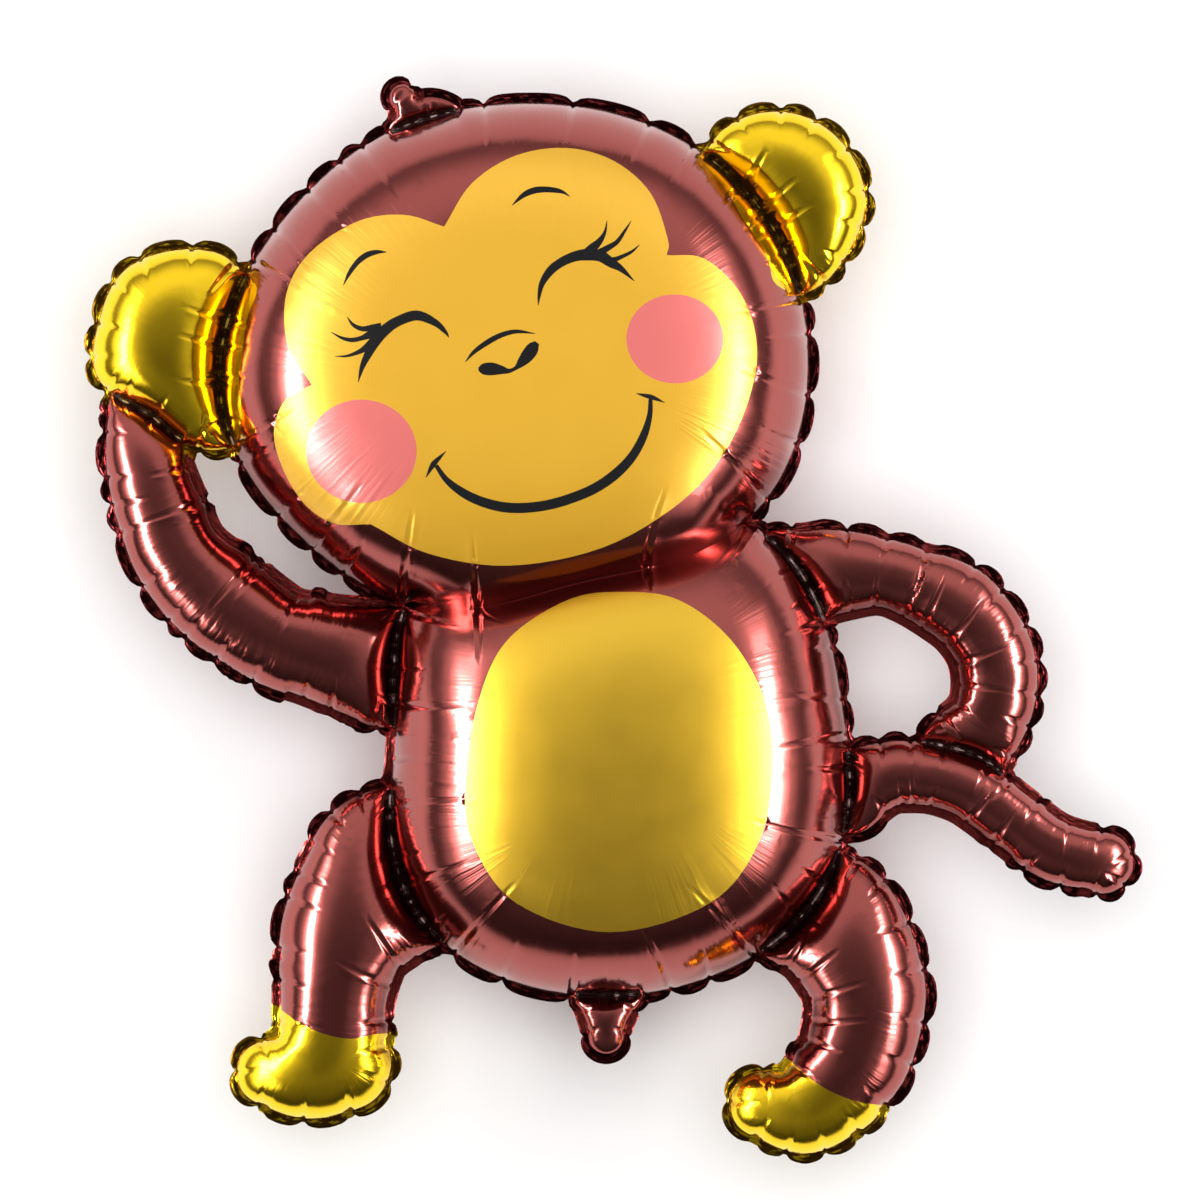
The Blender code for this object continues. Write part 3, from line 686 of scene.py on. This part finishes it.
def plan_mesh(shapes, seams, necks, rims, guide, pinches, prints):
    """Divide the plan into triangles along seams, rim, creases and print."""
    outline = [points for kind, name, points in seams if kind == "edge"]
    lines = ([(respaced(points, SEAM_STEP), "neck" if any(points is n for n in necks) else "seam")
              for kind, name, points in seams]
             + [(respaced(points, SEAM_STEP), "rim") for points in rims]
             + [(points, "print") for points in prints])
    corners, edges, index, kinds = [], [], {}, []
    for line, kind in lines:
        keys = []
        for p in line:
            key = (round(p[0], 2), round(p[1], 2))
            if key not in index:
                index[key] = len(corners)
                corners.append((p[0], p[1]))
            keys.append(index[key])
        pairs = [pair for pair in zip(keys[:-1], keys[1:]) if pair[0] != pair[1]]
        edges += pairs
        kinds += [kind] * len(pairs)

    rows = np.arange(-PLAN_REACH, PLAN_REACH, FILL_STEP * FILL_ROW_SHARE)
    grid = [(x + (i % 2) * FILL_STEP / 2, y) for i, y in enumerate(rows)
            for x in np.arange(-PLAN_REACH, PLAN_REACH, FILL_STEP)]
    candidates = [(pinches.mesh_points(), CREASE_CROWDING, CREASE_CLEAR)]
    for depth, spacing in ROWS:
        step = SEAM_STEP * spacing
        for kind, name, points in seams:
            line = respaced(points, step)
            base = (line[:-1] + line[1:]) / 2
            along = line[1:] - line[:-1]
            side = np.stack([along[:, 1], -along[:, 0]], axis=1)
            side /= np.maximum(np.hypot(*along.T), TINY)[:, None]
            for sign in (-1, 1):
                candidates.append((base + sign * side * depth, step * ROW_CROWDING,
                                   depth * ROW_CLEAR))
    candidates.append((np.array(grid), FILL_STEP * FILL_CROWDING, ROWS[-1][0] + FILL_CLEAR))
    every = np.vstack([points for points, gap, depth in candidates])
    inflated = is_within(every, outline)
    _, distance = guide.nearest(every)
    kept, first = [], 0
    for points, gap, depth in candidates:
        span = slice(first, first + len(points))
        first += len(points)
        kept.append((points[inflated[span] & (distance[span] > depth)], gap))
    for out in RIM_MESH_ROWS:
        for kind, name, points in seams:
            if kind == "edge":
                line = respaced(points, SEAM_STEP)
                kept.append((line + normals(line) * RIM_WIDTH * out, RIM_CROWDING))
    inner = thinned(corners, kept)
    result = delaunay_2d_cdt([Vector(c) for c in corners] + [Vector(p) for p in inner],
                             edges, [], 0, 1e-4)
    plan = np.array([tuple(v) for v in result[0]])
    faces = np.array(result[2])
    flat, level = np.zeros(len(plan), bool), np.zeros(len(plan), bool)
    for edge, sources in zip(result[1], result[4]):
        for s in sources:
            if s < len(kinds) and kinds[s] in ("seam", "neck"):
                (level if kinds[s] == "neck" else flat)[list(edge)] = True
    level &= ~flat
    centres = plan[faces].mean(axis=1)
    keep = is_within(centres, rims)
    faces, centres = faces[keep], centres[keep]
    turned = np.cross(plan[faces[:, 1]] - plan[faces[:, 0]], plan[faces[:, 2]] - plan[faces[:, 0]])
    faces[turned < 0] = faces[turned < 0][:, ::-1]
    return plan, faces, centres, flat, level, is_within(centres, outline)


def swell(shapes, plan, tri, flat, level):
    """Half-thickness of the filled balloon at each point of the plan."""
    free = np.zeros(len(plan), bool)
    free[tri] = True
    free &= ~(flat | level)
    starts, ends, weights = [], [], []
    load = np.zeros(len(plan))
    for k in range(3):
        i, j, o = tri[:, k], tri[:, (k + 1) % 3], tri[:, (k + 2) % 3]
        u, v = plan[i] - plan[o], plan[j] - plan[o]
        cross = np.abs(u[:, 0] * v[:, 1] - u[:, 1] * v[:, 0])
        weight = 0.5 * (u * v).sum(axis=1) / np.maximum(cross, 1e-6)
        starts += [i, j]
        ends += [j, i]
        weights += [weight, weight]
        load += np.bincount(i, cross / 6, len(plan))
    starts, ends = np.concatenate(starts), np.concatenate(ends)
    weights = np.concatenate(weights)
    total = np.bincount(starts, weights, len(plan))

    def pull(x):
        return (total * x - np.bincount(starts, weights * x[ends], len(plan))) * free

    pressed = np.zeros(len(plan))
    across = plan[level, 0]
    share = (across - across.mean()) / (np.ptp(across) / 2)
    arch = NECK_DEPTH * np.sqrt(np.clip(1 - np.abs(share) ** NECK_ARCH, 0, 1))
    pressed[level] = arch ** 2 / 2
    scale = np.where(free, 1 / np.maximum(total, TINY), 0)
    rest = load * free - pull(pressed)
    lean = scale * rest
    move, size = lean.copy(), rest @ lean
    for _ in range(SOLVE_ROUNDS):
        pushed = pull(move)
        step = size / (move @ pushed)
        pressed += step * move
        rest -= step * pushed
        lean = scale * rest
        new = rest @ lean
        if new < SOLVED:
            break
        move, size = lean + new / size * move, new
    half = np.sqrt(2 * np.maximum(pressed, 0))
    on_head = shapes["head"](plan) < -0.5
    on_body = (shapes["body"](plan) < -0.5) & ~on_head
    for part in (on_head & ~level, on_body & ~level):
        top = half[part].max()
        room = (top / DEPTH) ** FLATTENING - 1
        if room > 0:
            eased = 1 + room * (half[part] / top) ** FLATTENING
            half[part] = half[part] / eased ** (1 / FLATTENING)
        else:
            half[part] *= DEPTH / top
    return half


def ripple(a, b):
    """Smooth unevenness between about -1 and 1."""
    return (np.sin(a + 1.7 * np.sin(0.61 * b + 0.4)) + np.sin(0.73 * a - 1.13 * b + 2.1)
            + np.sin(1.31 * b + 0.37 * a + 4.0)) / 3


def away_from_turnovers(plan, tri, along):
    """Near 0 where the nearest place on the seams jumps from one to another, else 1."""
    i, j = np.concatenate([tri[:, :2], tri[:, 1:], tri[:, ::2]]).T
    jumps = np.abs(along[i] - along[j]) > 4 * np.hypot(*(plan[i] - plan[j]).T) + 2
    marked = np.unique(np.concatenate([i[jumps], j[jumps]]))
    tree = search_tree(plan[marked])
    gaps = np.array([tree.find((x, y, 0))[2] for x, y in plan.tolist()])
    share = np.clip(gaps / TURNOVER, 0, 1)
    return share * share * (3 - 2 * share)


def film(shapes, plan, tri, half, guide, pinches, inflated_point):
    """Shape of the film: plan position, mid-height, half-thickness and gathers by point."""
    nearest, distance = guide.nearest(plan)
    cusp, normal = guide.cusp[nearest], guide.normal[nearest]
    welded = guide.welded[nearest]
    loose = np.where(welded, 0.0, guide.round[nearest])
    t = np.clip(distance / RIM_WIDTH, 0, 1)
    lobe = (LOBE_REACH * (1 - cusp) - RIM_PULL * cusp) * loose
    outside = (SEAM_BULGE * (1 - cusp) * loose * (1 - t)
               + (lobe - TAUT_PULL * (1 - guide.round[nearest])) * t)
    inside = SEAM_BULGE * (1 - cusp) * np.exp(-distance / BULGE_FADE) * loose
    shift = np.where(inflated_point, inside, outside)
    moved = plan + normal * shift[:, None]

    x, y = plan[:, 0], plan[:, 1]
    wave = ripple(x / WAVE_LENGTH, y / WAVE_LENGTH)
    fade = np.where(inflated_point, np.exp(-distance / BULGE_FADE), 0.5 + 0.9 * t)
    middle = WAVE_HEIGHT * wave * fade * np.where(welded, WELD_WAVE, 1.0)
    beyond = np.maximum(distance, WELD_HALF)
    held = WELD_HALF / beyond * np.exp((WELD_HALF - beyond) / WELD_FADE)
    half = half * np.where(welded, np.sqrt(1 - held), 1)

    radius = (half ** 2 / np.maximum(distance, 0.3) + distance) / 2
    across = np.clip(1 - distance / np.maximum(radius, 1), 0, 1) ** 2
    along = guide.along[nearest]
    steady = away_from_turnovers(plan, tri, along)
    soft = ripple(along / RIPPLE_LENGTH, distance / 40) * np.exp(-distance / RIPPLE_FADE) * steady
    half = half + RIPPLE_HEIGHT * soft * across * np.minimum(distance / 6, 1)
    weld_start = np.clip((distance - WELD_GATHER_START) / WELD_GATHER_EASE, 0, WELD_GATHER)
    start = np.where(welded, weld_start, np.clip(distance / GATHER_START, 0, 1))
    gather = across ** 0.35 * start * steady
    half = half * (1 - CUSP_DIP * cusp * np.exp(-distance / CUSP_FADE))

    region = region_of(shapes, plan)
    for i in range(len(pinches.place)):
        ahead, aside = pinches.local(i, plan)
        reach = pinches.reach[i]
        near = np.flatnonzero((ahead > -1) & (ahead < reach) & (np.abs(aside) < 12)
                              & (region == pinches.owner[i]))
        ahead, lapped = ahead[near], aside[near] * pinches.lap[i] > 0
        aside = np.abs(aside[near])
        share = np.clip(ahead / reach, 0, 1)
        width = pinches.half_width(share)
        strength = pinches.depth[i] * min(DEPTH_LIMIT, DEPTH_BASE + reach / DEPTH_GAIN)
        strength = strength * (1 - share ** RUN_OUT)
        groove = np.clip(1 - aside / width, 0, 1)
        ridge = np.exp(-((aside - RIDGE_PLACE * width) / (RIDGE_WIDTH * width)) ** 2)
        raised = np.where(lapped, HIGH_RIDGE, LOW_RIDGE) * ridge
        lowered = strength * (GROOVE_DEPTH * groove - raised)
        half[near] -= np.minimum(lowered, DEEPEST * half[near])
    return moved, middle, np.maximum(half, 0), gather


def printed(centres, shapes, cheeks, strokes):
    """Which printed colour each face of the front has, and each of the back."""
    index = np.full(len(centres), SLOTS.index("brown_film"))
    ears = np.minimum(shapes["ear_l"](centres), shapes["ear_r"](centres))
    gold = (ears < 0) & (shapes["head"](centres) > 0)
    gold |= (ears < RIM_WIDTH + RIM_MARGIN) & (shapes["head"](centres) > 0) & (shapes["arm_l"](centres) > 0)
    for name, band in EAR_BANDS.items():
        middle = drawn(ROUND_SEAMS[name]).mean(axis=0)
        curve = smooth_curve(drawn(band), CURVE_PARTS)
        gold |= is_within(centres, [np.vstack([curve, middle, curve[:1]])])
    for name, line in FOOT_LINES.items():
        curve = smooth_curve(drawn(line), CURVE_PARTS)
        below = centres[:, 1] < np.interp(centres[:, 0], curve[:, 0], curve[:, 1])
        gold |= below & (shapes[name](centres) < RIM_WIDTH + RIM_MARGIN)
    index[gold] = SLOTS.index("gold_film")
    back = index.copy()
    for name, lines in (("face_print", [face_curve()]), ("belly_print", [belly_curve()]),
                        ("cheek_print", cheeks), ("black_print", strokes)):
        for line in lines:
            index[is_within(centres, [line])] = SLOTS.index(name)
    return index, back


def make_film(cad_middle):
    """Build the balloon's film as one mesh, front and back."""
    rng = np.random.default_rng(7)
    shapes = chambers()
    seams = cut_into_arcs(shapes, 0.0)
    rims = [points for kind, name, points in cut_into_arcs(shapes, RIM_WIDTH) if kind == "edge"]
    necks = neck_lines(shapes, seams)
    guide = SeamGuide(seams, necks)
    pinches = Pinches(shapes, guide, rng)
    cheeks = [oval(*drawn([(x, y)])[0], a * PIXEL, b * PIXEL) for x, y, a, b in CHEEKS]
    strokes = [stroke_outline(stroke) for stroke in STROKES]
    bands = [respaced(smooth_curve(drawn(run), CURVE_PARTS), BAND_STEP)
             for run in list(EAR_BANDS.values()) + list(FOOT_LINES.values())]
    prints = [face_curve(), belly_curve()] + cheeks + strokes + bands
    plan, faces, centres, flat, level, puffed = plan_mesh(shapes, seams, necks, rims, guide,
                                                          pinches, prints)
    closed = [seam for seam in seams if not any(seam[2] is neck for neck in necks)]
    guide = SeamGuide(closed, [])
    guide.draw_in(pinches)
    half = swell(shapes, plan, faces[puffed], flat, level)
    inflated_point = np.zeros(len(plan), bool)
    inflated_point[faces[puffed]] = True
    moved, middle, half, gather = film(shapes, plan, faces[puffed], half, guide, pinches,
                                       inflated_point)

    used = np.unique(faces)
    place = np.full(len(plan), -1)
    place[used] = np.arange(len(used))
    faces = place[faces]
    sharp_point = (flat | level)[used]
    moved, middle, half = moved[used], middle[used], half[used]
    skin = RIM_THICKNESS / 2
    level_z = DEPTH + CAD_RIM_THICKNESS / 2 - FLAT_DEPTH
    front = level_z + middle + skin + half
    back = np.maximum(level_z + middle - skin - half, 0)
    xy = moved - cad_middle
    count = len(used)
    points = np.vstack([np.column_stack([xy, front]), np.column_stack([xy, back])])
    edges = np.vstack([faces[:, [0, 1]], faces[:, [1, 2]], faces[:, [2, 0]]])
    coded = edges[:, 0] * count + edges[:, 1]
    border = edges[~np.isin(edges[:, 1] * count + edges[:, 0], coded)]
    walls = np.column_stack([border[:, 0], border[:, 0] + count, border[:, 1] + count,
                             border[:, 1]])
    slots, back_slots = printed(centres, shapes, cheeks, strokes)
    nearest, distance = guide.nearest(centres)
    # Faces at a weld and on the film just beside it get painted shade
    weld_painted_shade_faces = puffed & guide.welded[nearest] & (distance < WELD_PAINTED_SHADE)
    # Weld and rim faces get the weld and rim materials, whose dark colours are painted shade
    for side in (slots, back_slots):
        golden = side == SLOTS.index("gold_film")
        for part, kind in ((weld_painted_shade_faces, "weld"), (~puffed, "rim")):
            side[part] = np.where(golden[part], SLOTS.index("gold_" + kind),
                                  SLOTS.index("brown_" + kind))
    wall_slots = back_slots[np.flatnonzero(np.isin(coded, border[:, 0] * count + border[:, 1]))
                            % len(faces)]
    mesh = bpy.data.meshes.new("balloon_film")
    everything = faces.tolist() + (faces[:, ::-1] + count).tolist() + walls.tolist()
    mesh.from_pydata((points * MILLIMETRE).tolist(), [], everything)
    mesh.polygons.foreach_set("material_index",
                              np.concatenate([slots, back_slots, wall_slots]).astype(int))
    mesh.polygons.foreach_set("use_smooth", np.ones(len(everything), bool))

    seam_ends = np.concatenate([sharp_point, sharp_point])
    ends = np.zeros(len(mesh.edges) * 2, int)
    mesh.edges.foreach_get("vertices", ends)
    ends = ends.reshape(-1, 2)
    sharp = seam_ends[ends].all(axis=1)
    mark = mesh.attributes.new("sharp_edge", "BOOLEAN", "EDGE")
    mark.data.foreach_set("value", sharp)

    nearest, distance = guide.nearest(plan[used])
    field = mesh.attributes.new("seam", "FLOAT_VECTOR", "POINT")
    one = np.column_stack([guide.along[nearest], distance, guide.round[nearest]])
    field.data.foreach_set("vector", np.vstack([one, one]).astype(np.float32).ravel())
    field = mesh.attributes.new("gather", "FLOAT", "POINT")
    field.data.foreach_set("value", np.tile(gather[used], 2).astype(np.float32))
    mesh.update()
    film_object = bpy.data.objects.new("balloon_film", mesh)
    bpy.context.scene.collection.objects.link(film_object)
    return film_object


def node(tree, kind, **values):
    """Add a shader node and set inputs by name."""
    made = tree.nodes.new(kind)
    for name, value in values.items():
        made.inputs[name.replace("_", " ")].default_value = value
    return made


def seam_places(tree):
    """The seam attribute's three values: place along the seam, distance from it, slackness."""
    field = tree.nodes.new("ShaderNodeAttribute")
    field.attribute_name = "seam"
    split = tree.nodes.new("ShaderNodeSeparateXYZ")
    tree.links.new(field.outputs["Vector"], split.inputs[0])
    return field.outputs["Vector"], split.outputs


def seam_noise(tree, place, stretch, detail):
    """Noise stretched along and away from the seams, in features for each millimetre."""
    scaled = tree.nodes.new("ShaderNodeVectorMath")
    scaled.operation = "MULTIPLY"
    scaled.inputs[1].default_value = (*stretch, 0.0)
    tree.links.new(place, scaled.inputs[0])
    noise = node(tree, "ShaderNodeTexNoise", Scale=1.0, Detail=detail, Roughness=0.5)
    tree.links.new(scaled.outputs[0], noise.inputs["Vector"])
    return noise.outputs["Fac"]


def ranged(tree, value, low, high, start=0.0, end=1.0):
    """A value eased from start to end as it goes from low to high."""
    made = tree.nodes.new("ShaderNodeMapRange")
    made.interpolation_type = "SMOOTHSTEP"
    for name, number in (("From Min", low), ("From Max", high), ("To Min", start),
                         ("To Max", end)):
        made.inputs[name].default_value = number
    tree.links.new(value, made.inputs["Value"])
    return made.outputs["Result"]


def combined(tree, operation, first, second):
    """One sum on two values of a shader."""
    made = tree.nodes.new("ShaderNodeMath")
    made.operation = operation
    tree.links.new(first, made.inputs[0])
    tree.links.new(second, made.inputs[1])
    return made.outputs[0]


def new_material(name, colour, metal, rough, coat, shine=0.5):
    """A plain glossy material, its node tree and its shader."""
    mat = bpy.data.materials.new(name)
    mat.use_nodes = True
    shader = mat.node_tree.nodes["Principled BSDF"]
    shader.inputs["Base Color"].default_value = (*colour, 1)
    shader.inputs["Metallic"].default_value = metal
    shader.inputs["Roughness"].default_value = rough
    shader.inputs["Coat Weight"].default_value = coat
    shader.inputs["Coat Roughness"].default_value = 0.7 * rough
    shader.inputs["Specular IOR Level"].default_value = shine
    return mat, mat.node_tree, shader


def add_bump(tree, shader, height, strength, distance):
    """Fine relief, from a height between 0 and 1."""
    bump = node(tree, "ShaderNodeBump", Strength=strength, Distance=distance)
    tree.links.new(height, bump.inputs["Height"])
    tree.links.new(bump.outputs["Normal"], shader.inputs["Normal"])


def two_colours(tree, shader, share, dark, pale):
    """Colour that goes from dark to pale with a share between 0 and 1."""
    mix = tree.nodes.new("ShaderNodeMix")
    mix.data_type = "RGBA"
    mix.inputs["A"].default_value = (*dark, 1)
    mix.inputs["B"].default_value = (*pale, 1)
    tree.links.new(share, mix.inputs["Factor"])
    tree.links.new(mix.outputs["Result"], shader.inputs["Base Color"])


def film_material(name, colour, metal, rough, coat, streaks=0.9, shine=0.5):
    """Printed film: smooth, with patches of fine gathers that run in from the seams."""
    mat, tree, shader = new_material(name, colour, metal, rough, coat, shine)
    place, _ = seam_places(tree)
    gathers = seam_noise(tree, place, (0.20, 0.010), 1.0)
    patches = ranged(tree, seam_noise(tree, place, (0.016, 0.012), 0.0), 0.36, 0.56, 0.2, 1.0)
    amount = tree.nodes.new("ShaderNodeAttribute")
    amount.attribute_name = "gather"
    height = combined(tree, "MULTIPLY", combined(tree, "MULTIPLY", gathers, patches),
                      amount.outputs["Fac"])
    add_bump(tree, shader, height, streaks, 0.0016)
    cloud = node(tree, "ShaderNodeTexNoise", Scale=26.0, Detail=3.0)
    tree.links.new(ranged(tree, cloud.outputs["Fac"], 0.0, 1.0, max(rough - 0.03, 0.02),
                          rough + 0.04), shader.inputs["Roughness"])
    return mat


def rim_material(name, dark, pale):
    """Welded rim: crinkled lobes painted dark as shade, with painted glints in the film's own colour, and
    less painted shade where the seam is taut.
    """
    mat, tree, shader = new_material(name, dark, 1.0, 0.16, 0.0)
    place, values = seam_places(tree)
    crinkle = seam_noise(tree, place, (0.12, 0.40), 1.0)
    # Painted glints: patches in the lobes' middle lifted from the painted shade to the pale colour
    painted_glints = combined(tree, "MULTIPLY", ranged(tree, crinkle, 0.52, 0.66),
                      ranged(tree, values["Y"], 6.2, 3.8))
    # Where the seam is taut the painted shade is mostly left off
    taut = ranged(tree, values["Z"], 0.1, 0.6, 0.8, 0.0)
    two_colours(tree, shader, combined(tree, "MAXIMUM", painted_glints, taut), dark, pale)
    add_bump(tree, shader, crinkle, 0.5, 0.0022)
    return mat


def weld_material(name, dark, pale):
    """Weld between two chambers: painted dark as the shade in its fold, with a broken pale line along its
    middle.
    """
    # The dark base colour is painted shade of the fold
    mat, tree, shader = new_material(name, dark, 0.3, 0.55, 0.0)
    place, values = seam_places(tree)
    dashes = combined(tree, "MULTIPLY", ranged(tree, seam_noise(tree, place, (0.16, 0.9), 2.0),
                                               0.52, 0.62),
                      ranged(tree, values["Y"], 1.3, 0.5))
    two_colours(tree, shader, dashes, dark, pale)
    return mat


def softbox(name, place, aim, size, power, lit=True, mirrored=True):
    """A soft rectangular light that points at a place, for matt or mirroring surfaces."""
    lamp = bpy.data.lights.new(name, "AREA")
    lamp.shape = "RECTANGLE"
    lamp.size, lamp.size_y = size
    lamp.energy = power
    box = bpy.data.objects.new(name, lamp)
    box.location = place
    box.visible_diffuse = lit
    box.visible_glossy = mirrored
    direction = Vector(aim) - Vector(place)
    box.rotation_euler = direction.to_track_quat("-Z", "Y").to_euler()
    bpy.context.scene.collection.objects.link(box)


def surroundings():
    """Soft light from all round, dim overhead and low down, brighter towards +Y."""
    world = bpy.data.worlds.new("studio")
    world.use_nodes = True
    tree = world.node_tree
    direction = tree.nodes.new("ShaderNodeTexCoord")
    split = tree.nodes.new("ShaderNodeSeparateXYZ")
    tree.links.new(direction.outputs["Generated"], split.inputs[0])
    background = tree.nodes["Background"]
    background.inputs["Color"].default_value = (1, 1, 1, 1)
    lengthways = ranged(tree, split.outputs["Y"], -1.0, 1.0, 0.08, 0.80)
    low = ranged(tree, split.outputs["Z"], 0.0, 0.5, 0.3, 1.0)
    overhead = ranged(tree, split.outputs["Z"], 0.68, 0.98, 1.0, 0.33)
    strength = combined(tree, "MULTIPLY", combined(tree, "MULTIPLY", lengthways, low), overhead)
    tree.links.new(strength, background.inputs["Strength"])
    bpy.context.scene.world = world


def studio():
    """Camera above the balloon, pale floor and soft lights."""
    scene = bpy.context.scene
    scene.view_settings.view_transform = "Standard"
    scene.view_settings.exposure = EXPOSURE
    view = bpy.data.cameras.new("camera")
    view.lens = LENS
    view.sensor_width = SENSOR
    camera = bpy.data.objects.new("camera", view)
    camera.location = CAMERA_PLACE
    scene.collection.objects.link(camera)
    scene.camera = camera

    mesh = bpy.data.meshes.new("floor")
    corners = [(x * FLOOR_REACH, y * FLOOR_REACH, 0) for x, y in ((-1, -1), (1, -1), (1, 1), (-1, 1))]
    mesh.from_pydata(corners, [], [(0, 1, 2, 3)])
    floor = bpy.data.objects.new("floor", mesh)
    scene.collection.objects.link(floor)
    pale = bpy.data.materials.new("pale_floor")
    pale.use_nodes = True
    surface = pale.node_tree.nodes["Principled BSDF"]
    surface.inputs["Base Color"].default_value = (*FLOOR_COLOUR, 1)
    surface.inputs["Roughness"].default_value = FLOOR_ROUGHNESS
    mesh.materials.append(pale)

    surroundings()
    for side, sign in (("left", -1), ("right", 1)):
        for layer, (length, width, power) in enumerate(SOFTBOXES):
            away, along, height = SOFTBOX_PLACE
            x = sign * away * (1 - LAYER_GAP * layer)
            softbox(f"{side}_softbox_{layer}", (x, along, height), SOFTBOX_AIM,
                    (length, width), power, lit=layer < LIT_LAYERS)
    softbox("fill_softbox", FILL_PLACE, (0, 0, 0), FILL_SIZE, FILL_POWER, mirrored=False)


# Studio, in metres: camera far above the balloon, floor, and lights
EXPOSURE = 0.4
LENS = 364.8
SENSOR = 36
CAMERA_PLACE = (-0.0103, 0.0136, 9.1168)
FLOOR_REACH = 6
FLOOR_COLOUR = (0.9, 0.9, 0.9)
FLOOR_ROUGHNESS = 0.8
FILL_PLACE = (0, 0, 5)
FILL_SIZE = (4, 4)
FILL_POWER = 155
SOFTBOX_PLACE = (1.7, -0.05, 0.95)
SOFTBOX_AIM = (0, -0.05, 0.1)
# Each side light is brightest along its middle: length, width and power of its layers, which
# come nearer by a share each. The first ones light matt surfaces too
SOFTBOXES = [(3.4, 1.0, 4), (2.9, 0.60, 5), (2.2, 0.40, 8), (1.5, 0.30, 10), (0.9, 0.22, 8)]
LAYER_GAP = 0.03
LIT_LAYERS = 2

BROWN = (0.35, 0.078, 0.068)
GOLD = (1.0, 0.65, 0.015)

studio()
balloon = make_film(cad_middle())
for material in (
        film_material("brown_film", BROWN, 1.0, 0.15, 0.2),
        film_material("gold_film", GOLD, 1.0, 0.14, 0.15, 0.4),
        film_material("face_print", (0.84, 0.46, 0.03), 0.45, 0.32, 0.3, 0.5),
        film_material("belly_print", (0.82, 0.50, 0.03), 0.92, 0.36, 0.4, 0.5),
        film_material("cheek_print", (0.80, 0.18, 0.165), 0.4, 0.34, 0.3, 0.4),
        film_material("black_print", (0.008, 0.008, 0.009), 0.0, 0.5, 0.0, 0.5, 0.1),
        # Rims and welds: the dark colours are painted shade; the rims' pale ones show in their painted
        # glints and where they are taut, the welds' in their broken line
        rim_material("brown_rim", (0.030, 0.003, 0.004), (0.42, 0.06, 0.055)),
        rim_material("gold_rim", (0.10, 0.045, 0.001), (0.95, 0.62, 0.02)),
        weld_material("brown_weld", (0.020, 0.002, 0.002), (0.75, 0.55, 0.52)),
        weld_material("gold_weld", (0.035, 0.013, 0.0), (0.80, 0.52, 0.08))):
    balloon.data.materials.append(material)
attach(balloon, "root")
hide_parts("foil_balloon")
